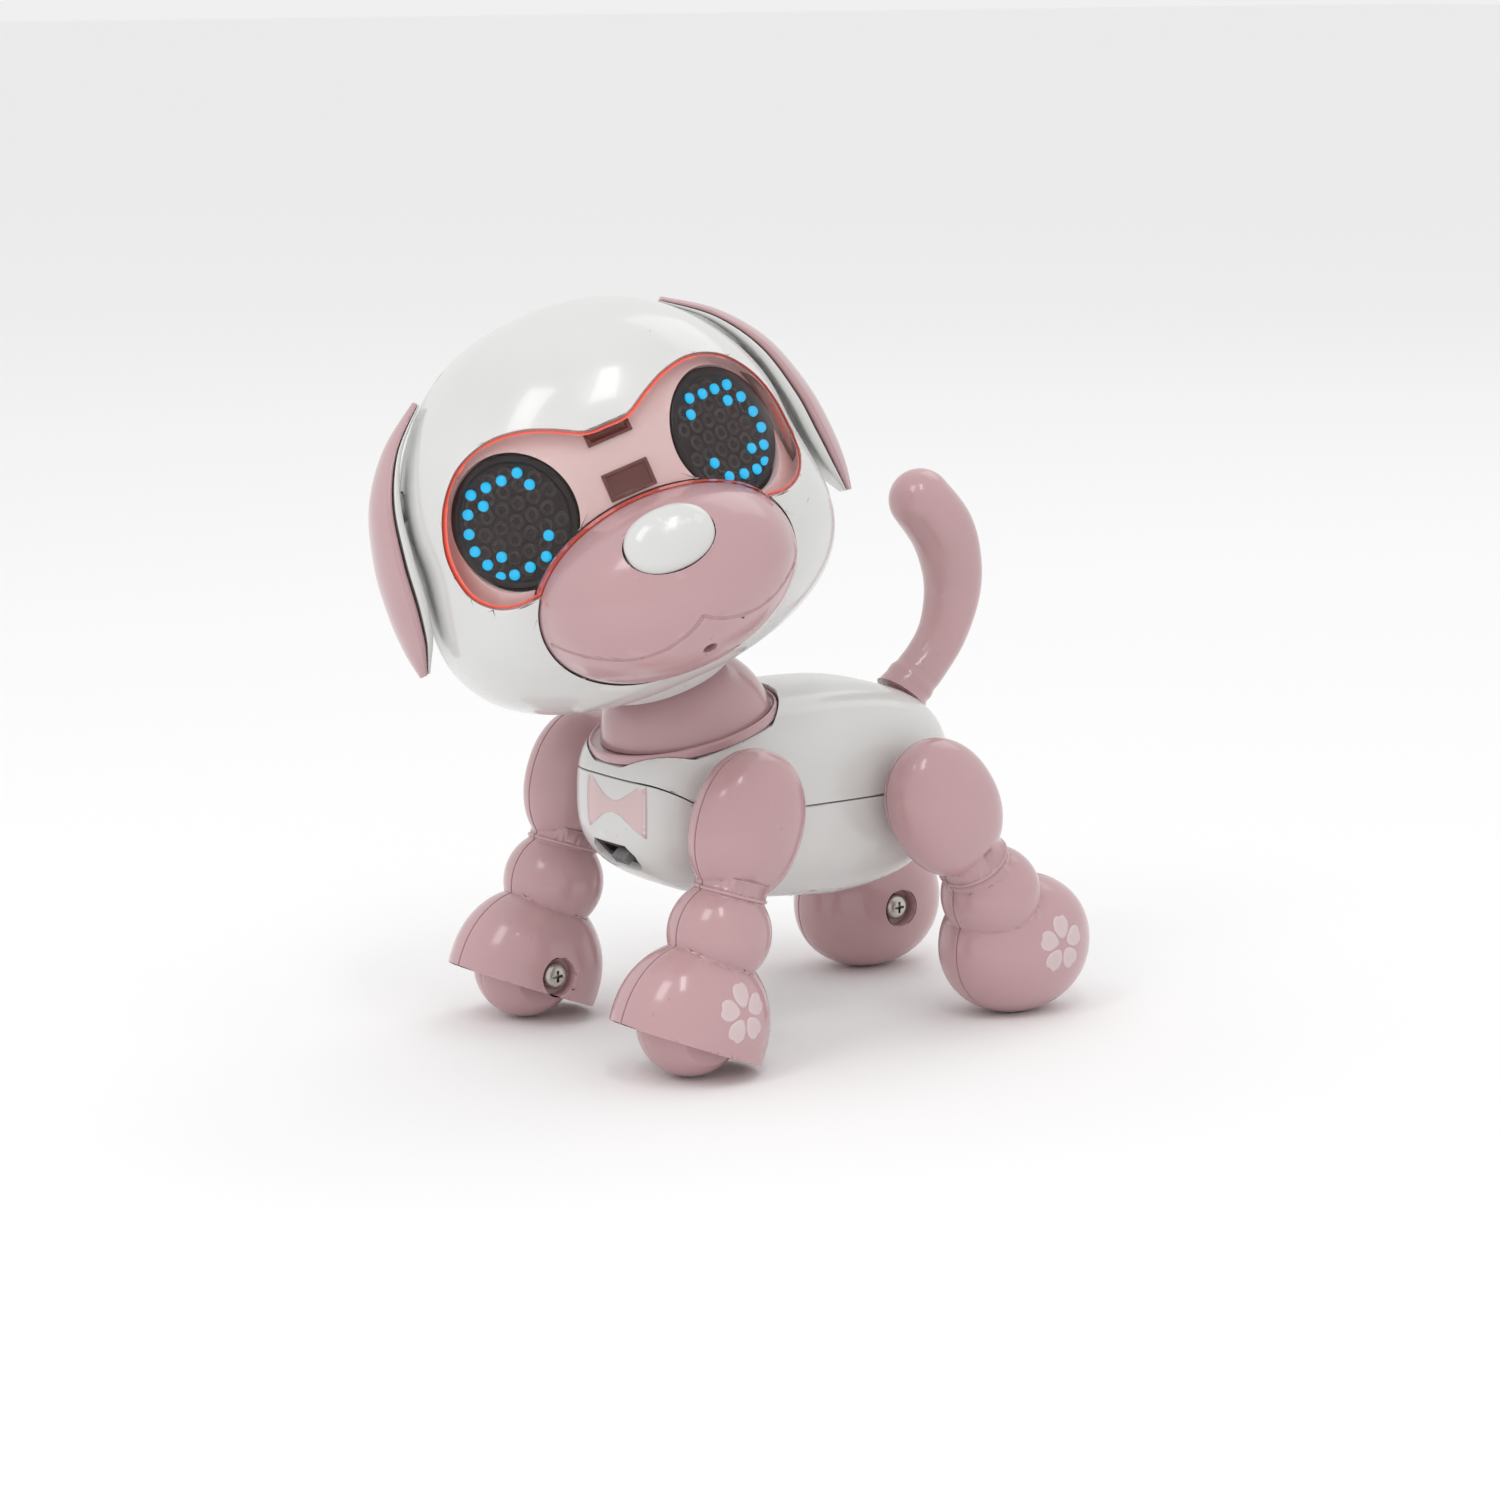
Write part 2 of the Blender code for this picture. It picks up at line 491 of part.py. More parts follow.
def build_head(head):
    """Shells, goggles, muzzle, nose, eyes and what is behind them."""
    white = material("white_gloss", WHITE, 0.18)
    pink = material("pink_gloss", PINK, 0.2)
    steel = material("steel", STEEL, 0.3, 1.0)
    black = material("black_plastic", BLACK, 0.4)
    board_green = material("board", GREEN, 0.5)
    neck_way = (-HEAD_LEVEL, 0, 0)
    neck_foot = Vector((0, -sin(HEAD_LEVEL), -cos(HEAD_LEVEL))) * NECK_LENGTH

    cavity = tool(head_blob(WALL, 20, 10), head)
    muzzle_room = tool(muzzle_blob(-GAP), head)
    neck_hole = tool(rod(10.4, 0, 14.5, 24), head, neck_foot, neck_way)
    behind = tool(block((-40, HEAD_SEAM_Y - GAP / 2, -40), (40, 40, 40)), head)
    ahead = tool(block((-40, -40, -40), (40, HEAD_SEAM_Y + GAP / 2, 40)), head)
    outline = visor_outline()
    goggles = tool(prism(grown(outline, GAP), -40, -9, "Y"), head)

    # Each head screw runs from a recess in the rear shell into a post of the front shell.
    fronts, rears, front_cuts, rear_cuts = [], [], [], []
    back = (-pi / 2, 0, 0)
    for side, name in ((1, "left"), (-1, "right")):
        seat = (side * HEAD_SCREW[0], 0, HEAD_SCREW[1])
        fronts.append(tool(rod(2.4, -19, HEAD_SEAM_Y, 12), head, seat, back))
        rears.append(tool(rod(2.6, HEAD_SEAM_Y, 20, 12), head, seat, back))
        combine(fronts[-1], "INTERSECT", tool(head_blob(0.3, 20, 10), head))
        combine(rears[-1], "INTERSECT", tool(head_blob(0.3, 20, 10), head))
        front_cuts.append(tool(rod(1.15, -9, 20, 12), head, seat, back))
        step = [(0, 0), (1.15, 0), (1.15, 8.5), (2.1, 8.5), (2.1, 30), (0, 30)]
        rear_cuts.append(tool(turned(step, 12), head, seat, back))
        piece(f"head_screw_{name}", screw(13.5), head, steel, (seat[0], 8.5 + GAP + 1.0, seat[2]), back)
        way = facing((side * cos(EAR_AXIS_UP), 0, sin(EAR_AXIS_UP)))
        peg = tool(rod(2.1, 15, 40, 14), head, (0, 0, 0), way)
        front_cuts.append(peg)
        rear_cuts.append(peg)

    for name, side_posts, cuts in (("front", fronts, [behind, goggles, muzzle_room] + front_cuts),
                                   ("rear", rears, [ahead] + rear_cuts)):
        shell = piece(f"head_{name}_shell", head_blob(), head, white)
        combine(shell, "DIFFERENCE", cavity)
        combine(shell, "UNION", *side_posts)
        combine(shell, "DIFFERENCE", neck_hole, *cuts)

    build_goggles(head, outline, muzzle_room)
    for side, name in ((1, "left"), (-1, "right")):
        middle, out = eye_place(side)
        disc = [(0, 0), (EYE_RADIUS, 0), (EYE_RADIUS, -EYE_THICK), (0, -EYE_THICK)]
        grille = piece(f"eye_grille_{name}", turned(disc, 28), head, black, middle, facing(out))
        combine(grille, "DIFFERENCE", muzzle_room)
        leds = piece(f"eye_led_board_{name}", rod(6.8, -1.0, 0, 20), head, board_green,
                     middle - out * (EYE_THICK + 1.1) + Vector((0, 0, 0.9)), facing(out))
        for step in range(6):
            turn = step * pi / 3
            lamp = rod(0.7, -0.2, 0.7, 6)
            bmesh.ops.translate(lamp, vec=(5.4 * cos(turn), 5.4 * sin(turn), 0), verts=lamp.verts)
            combine(leds, "UNION", tool(lamp, head, leds.location / MM, facing(out)))
    build_muzzle(head, pink, white, black, board_green)

    # Collar ring over the dome, with the flange that the neck washer holds.
    clear = DOME_RADIUS + 0.35
    under = [(sqrt(clear ** 2 - (s - DOME_CENTRE) ** 2), s) for s in (8.3, 7.9, 7.5, 7.05)]
    ring = [(4.9, 10.2), (4.9, 8.5)] + under + [(8.8, 7.05), (9.9, 8.6), (9.9, 10.2)]
    piece("chin_collar", turned(ring, 28, closed=True), head, white, neck_foot, neck_way)


def build_goggles(head, outline, muzzle_room):
    """Clear visor in the face opening, and the face plate behind it with its two eye holes."""
    visor = piece("visor", prism(outline, -40, -9, "Y"), head, material("clear_pink", CLEAR_PINK, 0.08))
    combine(visor, "INTERSECT", tool(head_blob(0.1), head))
    combine(visor, "DIFFERENCE", tool(head_blob(1.3), head), muzzle_room)
    plate = piece("face_plate", prism(grown(outline, 1.2), -40, -9, "Y"), head,
                  material("pale_pink", PALE_PINK, 0.4))
    combine(plate, "INTERSECT", tool(head_blob(2.2), head))
    combine(plate, "DIFFERENCE", tool(head_blob(3.3), head), muzzle_room)
    for side in (1, -1):
        middle, out = eye_place(side)
        combine(plate, "DIFFERENCE", tool(rod(EYE_RADIUS + GAP, -6, 8, 28), head, middle, facing(out)))


def build_muzzle(head, pink, white, black, board_green):
    """Muzzle shell, the nose pressed through it onto its switch, and the microphone."""
    muzzle = piece("muzzle", muzzle_blob(), head, pink)
    combine(muzzle, "DIFFERENCE", tool(muzzle_blob(WALL, 14, 8), head), tool(head_blob(2.7), head))
    hole = rod(1.0, -8, 8, 24)
    bmesh.ops.scale(hole, vec=(NOSE_SIZE[0] + GAP, NOSE_SIZE[2] + GAP, 1), verts=hole.verts)
    nose_out = Vector((0, -cos(NOSE_TILT), -sin(NOSE_TILT)))
    combine(muzzle, "DIFFERENCE", tool(hole, head, NOSE_AT, (pi / 2 + NOSE_TILT, 0, 0)))
    mic_turn = (pi / 2 + MIC_TILT, 0, 0)
    mic_in = Vector((0, cos(MIC_TILT), sin(MIC_TILT)))
    combine(muzzle, "DIFFERENCE", tool(rod(0.9, -3, 6, 10), head, MIC_AT, mic_turn))
    piece("microphone", turned([(0, 0), (2.0, 0), (2.0, 1.8), (0, 1.8)], 14), head,
          material("steel", STEEL, 0.3, 1.0), MIC_AT + mic_in * 4.4, mic_turn)

    nose = piece("nose_button", blob(NOSE_SIZE, 2.2, around=20, along=8), head, white, NOSE_AT,
                 (NOSE_TILT, 0, 0))
    flange = blob((6.2, 0.6, 4.7), 6.0, (0, 5.3, 0), 16, 6)
    stem = rod(1.6, -9.0, 0.5, 12)
    combine(nose, "UNION", tool(flange, head, NOSE_AT, (NOSE_TILT, 0, 0)),
            tool(stem, head, NOSE_AT, (pi / 2 + NOSE_TILT, 0, 0)))
    back = NOSE_AT - nose_out * (9.0 + NOSE_TRAVEL + GAP)
    switch = piece("nose_switch", block((-3, -3, -3.4), (3, 3, 0)), head, black, back, facing(nose_out))
    combine(switch, "UNION", tool(rod(1.4, -1, 0.2, 10), head, back, facing(nose_out)))
    piece("nose_board", block((-7, -4.6, -4.7), (7, 4.6, -3.7)), head, board_green, back, facing(nose_out))


# ---------------------------------------------------------------- ears, legs, tail

def ear_sheet(side, inner, outer, rim):
    """Curved leaf; outer, inner and rim are depths under the ear's middle line, as shares of its thickness."""
    shape = bmesh.new()
    rings = []
    last = len(EAR_SPINE) - 1
    for i, (x, z) in enumerate(EAR_SPINE):
        before, after = EAR_SPINE[max(0, i - 1)], EAR_SPINE[min(last, i + 1)]
        along = (Vector(after) - Vector(before)).normalized()
        inwards = Vector((along.y, -along.x))
        ring = [(share, outer + (rim - outer) * share ** 2) for share in (-1, -0.7, -0.35, 0, 0.35, 0.7, 1)]
        ring += [(share, inner) for share in (0.9, 0, -0.9)]
        deep = inwards * EAR_THICK[i]
        spots = [(x + deep.x * d, EAR_HALF_WIDTH[i] * s, z + deep.y * d) for s, d in ring]
        rings.append([shape.verts.new((side * px, py, pz)) for px, py, pz in spots])
    for a, b in zip(rings, rings[1:]):
        for k in range(len(a)):
            shape.faces.new((a[k], a[(k + 1) % len(a)], b[(k + 1) % len(a)], b[k]))
    shape.faces.new(rings[0])
    shape.faces.new(rings[-1])
    bmesh.ops.triangulate(shape, faces=[f for f in shape.faces if len(f.verts) > 4])
    return shape


def build_ear(ear, side, name):
    """Pink cover and white liner; the liner's peg turns in the head."""
    piece(f"ear_cover_{name}", ear_sheet(side, 0.66, 0.0, 0.5), ear, material("pink_gloss", PINK, 0.2))
    liner = piece(f"ear_liner_{name}", ear_sheet(side, 1.0, 0.74, 0.74), ear,
                  material("white_gloss", WHITE, 0.18))
    way = facing((side * cos(EAR_AXIS_UP), 0, sin(EAR_AXIS_UP)))
    combine(liner, "UNION", tool(rod(1.8, 22.5, 26.0, 12), ear, (0, 0, 0), way))


def leg_form(leg, knee, foot, shrink, keep_name=None, look=None):
    """Thigh, knee ball, the neck between them and the foot as one body, shrunk for the hollow."""
    around = 8 if shrink else 14
    tilt = atan2(knee.y, -knee.z)
    thigh = blob([s - shrink for s in THIGH_SIZE], 2.15, (0, 0, 0), around, 6, across=True)
    bmesh.ops.rotate(thigh, matrix=Matrix.Rotation(tilt, 3, "X"), verts=thigh.verts)
    ball = blob([KNEE_RADIUS - shrink] * 3, 2.0, (0, 0, 0), around, 6, across=True)
    form = piece(keep_name, thigh, leg, look) if keep_name else tool(thigh, leg)
    link = rod(LEG_NECK_RADIUS - shrink, THIGH_SIZE[2] - 3.0 + shrink, knee.length, 10)
    combine_each(form, "UNION", tool(ball, leg, knee), tool(link, leg, (0, 0, 0), facing(knee)), foot)
    return form


def build_leg(leg, name, side, front):
    """Outer and inner half around a hollow, the screw that joins them, hub ring and roller."""
    pink = material("pink_gloss", PINK, 0.2)
    steel = material("steel", STEEL, 0.3, 1.0)
    knee = (FRONT_KNEE if front else REAR_KNEE).copy()
    foot_at = (FRONT_FOOT if front else REAR_FOOT).copy()
    foot_size = FRONT_FOOT_SIZE if front else REAR_FOOT_SIZE
    knee.x *= side
    foot_at.x *= side
    foot_turn = (atan2(foot_at.y - knee.y, knee.z - foot_at.z) if front else 0.0, 0, 0)
    inwards_turn = (0, -side * pi / 2, 0)

    def foot_body(shrink):
        half = [s - shrink for s in foot_size]
        shape = blob(half, 2.1, (0, 0, 0), 10 if shrink else 16, 6 if shrink else 8, across=True)
        return tool(shape, leg, foot_at, foot_turn)

    # The front foot holds a roller ball in a round socket; the rear one is hollow round a screw post.
    axle = FRONT_ROLLER if front else foot_at
    if front:
        room = tool(blob([BALL_RADIUS + 0.5] * 3, 2.0, (0, 0, 0), 14, 8, across=True), leg, axle)
        reach = BALL_HALF_WIDTH + 0.4
        combine(room, "INTERSECT", tool(block((-reach, -20, -20), (reach, 20, 20)), leg, axle))
        ground = tool(block((-20, -20, -20), (20, 20, -SOLE_BELOW_FOOT)), leg, foot_at, foot_turn)
    else:
        room = foot_body(WALL)
        combine(room, "DIFFERENCE", tool(rod(3.1, -20, 20, 11), leg, foot_at, inwards_turn))
        ground = tool(block((-20, -20, -20), (20, 20, 0)), leg, (foot_at.x, foot_at.y, -REAR_HIP.z))
    hollow = leg_form(leg, knee, room, WALL)

    for half, sign in (("outer", side), ("inner", -side)):
        shell = leg_form(leg, knee, foot_body(0.0), 0.0, f"{name}_leg_{half}", pink)
        step = [(0, -foot_size[0] + 1.6), (1.2, -foot_size[0] + 1.6), (1.2, 20), (0, 20)]
        if half == "inner":
            reach = 12.2 if front else 11.2
            combine(shell, "UNION", tool(rod(HUB_RADIUS, 2.0, reach, 14), leg, (0, 0, 0), inwards_turn))
            step[2:] = [(1.2, foot_size[0] - 2.0), (2.5, foot_size[0] - 2.0), (2.5, 20), (0, 20)]
        edge = GAP / 2 * sign
        other = block((-40, -40, -40), (edge, 40, 40)) if sign > 0 else block((edge, -40, -40), (40, 40, 40))
        bore = tool(turned(step, 12), leg, axle, inwards_turn)
        combine_each(shell, "DIFFERENCE", bore, hollow, ground, tool(other, leg, (foot_at.x * 0.5, 0, 0)))
    inwards = Vector((-side, 0, 0))
    piece(f"{name}_leg_screw", screw(2 * foot_size[0] - 4.2, 1.7), leg, steel,
          axle + inwards * (foot_size[0] - 0.6), inwards_turn)
    ring_from = 10.8 if front else 9.6
    piece(f"{name}_leg_retainer", tube(HUB_RADIUS + GAP, 3.4, ring_from, ring_from + 1.0, 12), leg, steel,
          (0, 0, 0), inwards_turn)
    if front:
        edge = asin(BALL_HALF_WIDTH / BALL_RADIUS)
        arc = [-edge + 2 * edge * i / 6 for i in range(7)]
        bore = [(1.25, -BALL_HALF_WIDTH), (1.25, BALL_HALF_WIDTH)]
        profile = bore[:1] + [(BALL_RADIUS * cos(a), BALL_RADIUS * sin(a)) for a in arc] + bore[1:]
        piece(f"{name}_roller", turned(profile, 16, closed=True), leg, pink, axle, (0, pi / 2, 0))


def build_tail(tail):
    """Curved tail with a round tip and a peg through the rump, held by a ring inside."""
    pink = material("pink_gloss", PINK, 0.2)
    base = Vector(TAIL_SPINE[0])
    shape = bmesh.new()
    rings = []
    spine = [Vector(p) - base for p in TAIL_SPINE]
    last = len(spine) - 1
    tip_way = (spine[-1] - spine[-2]).normalized()
    stations = list(zip(spine, TAIL_RADIUS))
    for share in (0.5, 0.85):
        stations.append((spine[-1] + tip_way * TAIL_RADIUS[-1] * share, TAIL_RADIUS[-1] * sqrt(1 - share ** 2)))
    for i, (spot, radius) in enumerate(stations):
        before, after = stations[max(0, i - 1)][0], stations[min(len(stations) - 1, i + 1)][0]
        along = (after - before).normalized()
        side = Vector((0, along.y, -along.x))
        ring = []
        for k in range(14):
            turn = 2 * pi * k / 14
            point = Vector((radius * cos(turn), spot.x, spot.y)) + side * radius * sin(turn)
            ring.append(shape.verts.new(point))
        rings.append(ring)
    for a, b in zip(rings, rings[1:]):
        for k in range(14):
            shape.faces.new((a[k], a[(k + 1) % 14], b[(k + 1) % 14], b[k]))
    shape.faces.new(rings[0])
    end = spine[last] + tip_way * TAIL_RADIUS[-1]
    tip = shape.verts.new((0, end.x, end.y))
    for k in range(14):
        shape.faces.new((rings[-1][k], rings[-1][(k + 1) % 14], tip))
    bmesh.ops.rotate(shape, matrix=Matrix.Rotation(TAIL_LEAN, 3, "X"), verts=shape.verts)
    body = piece("tail", shape, tail, pink)
    combine(body, "UNION", tool(rod(2.0, -5.4, 1.0, 14), tail))
    piece("tail_retainer", tube(2.3, 3.1, -4.6, -3.6, 16), tail, material("steel", STEEL, 0.3, 1.0))


def main():
    """Clears the scene and builds the toy in its pose."""
    for old in list(bpy.data.objects):
        bpy.data.objects.remove(old, do_unlink=True)
    body = empty("body", at=STAND_AT)
    neck = empty("neck_swivel", body, NECK_AT, (NECK_TILT, 0, 0))
    turn = empty("head_turn", neck, turn=(0, 0, HEAD_TURN))
    head = empty("head", turn, (0, 0, NECK_LENGTH), (HEAD_LEVEL, 0, 0))
    build_body(body)
    build_head(head)
    for side, name in ((1, "left"), (-1, "right")):
        build_ear(empty(f"ear_{name}", head), side, name)
        for hip, end in ((FRONT_HIP, "front"), (REAR_HIP, "rear")):
            leg = empty(f"{end}_{name}_hip", body, (side * hip.x, hip.y, hip.z))
            build_leg(leg, f"{end}_{name}", side, end == "front")
    tail = empty("tail_swivel", body, (0, *TAIL_SPINE[0]), (-TAIL_LEAN, 0, 0))
    build_tail(tail)


main()
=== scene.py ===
import json
from math import asin, atan2, cos, pi, radians, sin, sqrt

import bmesh
import bpy
from mathutils import Euler, Matrix, Vector
from mathutils.bvhtree import BVHTree
from mathutils.interpolate import poly_3d_calc

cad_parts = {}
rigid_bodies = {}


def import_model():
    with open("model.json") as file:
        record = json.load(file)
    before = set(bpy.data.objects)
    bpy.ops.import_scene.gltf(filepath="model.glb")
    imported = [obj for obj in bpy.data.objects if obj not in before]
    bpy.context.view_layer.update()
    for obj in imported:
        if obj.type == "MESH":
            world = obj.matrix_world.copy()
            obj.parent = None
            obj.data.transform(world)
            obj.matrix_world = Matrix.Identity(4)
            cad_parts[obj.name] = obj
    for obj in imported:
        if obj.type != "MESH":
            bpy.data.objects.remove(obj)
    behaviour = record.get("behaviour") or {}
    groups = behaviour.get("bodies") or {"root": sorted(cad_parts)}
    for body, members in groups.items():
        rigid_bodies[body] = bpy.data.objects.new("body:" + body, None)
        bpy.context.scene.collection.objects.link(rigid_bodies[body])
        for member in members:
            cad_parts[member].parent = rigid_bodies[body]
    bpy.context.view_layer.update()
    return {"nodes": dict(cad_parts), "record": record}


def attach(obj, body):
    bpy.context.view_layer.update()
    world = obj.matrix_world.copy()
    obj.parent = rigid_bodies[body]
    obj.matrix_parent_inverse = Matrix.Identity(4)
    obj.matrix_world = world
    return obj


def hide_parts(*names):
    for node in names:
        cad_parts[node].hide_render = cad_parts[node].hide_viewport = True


# Looks of the robot puppy toy.  Shapes are made in millimetres in the frame of their own assembly
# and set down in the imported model's frame, in metres, by place().

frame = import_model()

MM = 0.001
GAP = 0.3                                   # air between pieces that touch on the real toy
SEAM = 0.2                                  # width of a moulded seam
WALL = 1.6
SOFT_EDGE = 0.14                            # width of the rounding on a moulding's edges
HEAD_SOFT_EDGE = 0.16
SCREW_HEAD = 1.0
STAND_AT = (-3.84, 8.92, 0.0)

BODY_AT = Vector((0.0, -2.4, 31.5))
BODY_SIZE = (13.4, 25.1, 15.3)
BODY_POWER = 2.87
BODY_PLAN_POWER = 3.6
BODY_TOP_SHARE = 0.855
SEAM_Z = 30.6
CHEST_SEAM_Z = 34.9

BASE_AT = Vector((0.0, -15.3, 40.6))
BASE_TILT = radians(14.7)
BASE_RADIUS = 12.4

NECK_AT = Vector((0.0, -15.2, 40.9))
NECK_TILT = radians(22.6)
HEAD_TURN = radians(71.3)
HEAD_LEVEL = radians(-17.9)
NECK_LENGTH = 31.2
DOME_RADIUS = 11.3
DOME_CENTRE = -1.75

HEAD_SIZE = (24.9, 25.1, 25.0)
HEAD_RISE = 0.55
HEAD_POWER = 2.6
HEAD_FRONT_POWER = 2.3
HEAD_SEAM_Y = 2.0
HEAD_SCREW = (18.5, -11.0)
MUZZLE_AT = Vector((0.0, -16.5, -11.0))
MUZZLE_SIZE = (16.8, 17.3, 11.4)
MUZZLE_POWER = 2.4
MUZZLE_FRONT_POWER = 2.05
NOSE_AT = Vector((0.0, -32.2, -5.9))
NOSE_TILT = radians(-18.0)
NOSE_SIZE = (5.6, 2.2, 4.0)
MIC_AT = Vector((0.0, -28.6, -20.0))
MIC_TILT = radians(48.0)

EYE_TOWARDS = Vector((18.3, -24.2, 2.7))
EYE_RADIUS = 8.2
EYE_DEPTH = 4.1
EYE_THICK = 1.5
VISOR_CENTRE = (0.0, 2.2)
VISOR_OUTLINE = [(0.0, 9.3), (2.9, 9.5), (6.2, 11.2), (9.5, 12.5), (13.5, 12.9), (17.6, 11.4),
                 (20.6, 8.1), (22.2, 4.2), (22.7, 0.5), (22.2, -3.3), (20.4, -5.7), (17.8, -6.6),
                 (14.5, -6.4), (7.0, -6.4)]

# Lamps of the left eye: towards the ear and up from the middle of the disc.
LAMPS = [(-2.7, 5.3), (-0.4, 5.2), (1.8, 5.2), (4.0, 5.1), (-3.6, 3.4), (3.1, 3.3), (5.4, 3.1),
         (6.3, 0.9), (6.5, -1.3), (3.6, -3.2), (5.7, -3.4), (4.8, -5.4), (3.0, -5.8), (0.7, -5.7),
         (-1.8, -5.3), (-3.2, -3.1)]
LAMP_RADIUS = 0.67
MOUTH = [(0.0, -15.9), (1.6, -16.9), (3.8, -17.6), (6.5, -17.9), (9.5, -17.4), (12.5, -16.0),
         (15.0, -14.0), (16.4, -12.3)]

EAR_AXIS_UP = radians(22.0)
EAR_SPINE = [(17.1, 21.1), (22.9, 17.0), (27.3, 11.2), (29.7, 4.0), (30.5, -2.2), (30.5, -7.2),
             (30.0, -10.8)]
EAR_HALF_WIDTH = [1.2, 3.9, 6.2, 7.2, 6.7, 4.9, 1.5]
EAR_THICK = [0.9, 2.0, 3.3, 4.2, 4.3, 3.3, 1.3]

FRONT_HIP = Vector((18.9, -18.7, 30.7))
REAR_HIP = Vector((18.6, 12.7, 29.2))
FRONT_KNEE = Vector((0.0, -4.3, -13.2))
REAR_KNEE = Vector((-1.5, 9.1, -12.9))
FRONT_FOOT = Vector((0.0, -8.9, -24.9))
REAR_FOOT = Vector((-2.5, 13.9, -20.1))
THIGH_SIZE = (5.4, 7.7, 9.7)
KNEE_RADIUS = 6.6
LEG_NECK_RADIUS = 4.6
FRONT_FOOT_SIZE = (8.6, 10.5, 11.2)
REAR_FOOT_SIZE = (8.0, 10.9, 9.3)
FRONT_ROLLER = Vector((0.0, -8.9, -24.0))
BALL_RADIUS = 6.7
BALL_HALF_WIDTH = 5.1
SOLE_BELOW_FOOT = 1.7
HUB_RADIUS = 2.5

TAIL_SPINE = [(20.0, 40.6), (21.0, 41.7), (24.2, 44.7), (26.9, 48.4), (28.4, 53.2), (28.3, 57.5),
              (26.6, 62.2), (23.0, 66.4)]
TAIL_RADIUS = [3.75, 3.35, 3.15, 3.3, 3.75, 4.1, 4.35, 4.2]
TAIL_LEAN = atan2(TAIL_SPINE[1][0] - TAIL_SPINE[0][0], TAIL_SPINE[1][1] - TAIL_SPINE[0][1])

BODY_SCREWS = [(4.0, -15.5), (-4.0, -15.5), (0.0, 17.6)]
SCREW_SEAT = 22.5
DOOR_HALF_WIDTH = 8.6
DOOR_FRONT, DOOR_BACK = -2.4, 14.9
DOOR_SCREW_Y = 12.5
SPEAKER_Y = -8.0
SWITCH_AT = Vector((0.0, -25.0, 24.9))
SWITCH_TILT = radians(-46.5)

BODY = Matrix.Translation(STAND_AT)
NECK = BODY @ Matrix.Translation(NECK_AT) @ Matrix.Rotation(NECK_TILT, 4, "X")
HEAD = (NECK @ Matrix.Rotation(HEAD_TURN, 4, "Z") @ Matrix.Translation((0, 0, NECK_LENGTH))
        @ Matrix.Rotation(HEAD_LEVEL, 4, "X"))
MIRROR = Matrix.Diagonal((-1, 1, 1, 1))
SIDES = ((False, "left"), (True, "right"))
TAIL = BODY @ Matrix.Translation((0, *TAIL_SPINE[0])) @ Matrix.Rotation(-TAIL_LEAN, 4, "X")


# ---------------------------------------------------------------- materials

def new_look(name):
    """A material with its node lists, its shader and the object's own coordinates."""
    look = bpy.data.materials.new(name)
    look.use_nodes = True
    nodes, links = look.node_tree.nodes, look.node_tree.links
    coordinates = nodes.new("ShaderNodeTexCoord").outputs["Object"]
    return look, nodes, links, nodes["Principled BSDF"], coordinates


def noise(nodes, links, coordinates, scale, detail=2.0):
    """The value of a noise texture; the scale is per metre."""
    texture = nodes.new("ShaderNodeTexNoise")
    texture.inputs["Scale"].default_value = scale
    texture.inputs["Detail"].default_value = detail
    links.new(coordinates, texture.inputs["Vector"])
    return texture.outputs["Fac"]


def ramp(nodes, links, value, low, high, start=0.0, stop=1.0):
    """A colour between low and high."""
    made = nodes.new("ShaderNodeValToRGB")
    for element, position, colour in zip(made.color_ramp.elements, (start, stop), (low, high)):
        element.position = position
        element.color = (*colour, 1)
    links.new(value, made.inputs["Fac"])
    return made.outputs["Color"]


def spread(nodes, links, value, low, high, start=0.0, stop=1.0):
    """A number between low and high."""
    made = nodes.new("ShaderNodeMapRange")
    for socket, number in (("From Min", start), ("From Max", stop), ("To Min", low), ("To Max", high)):
        made.inputs[socket].default_value = number
    links.new(value, made.inputs["Value"])
    return made.outputs["Result"]


def shaded(colour, share):
    """A colour made darker or lighter, never past white."""
    return [min(1.0, c * share) for c in colour]


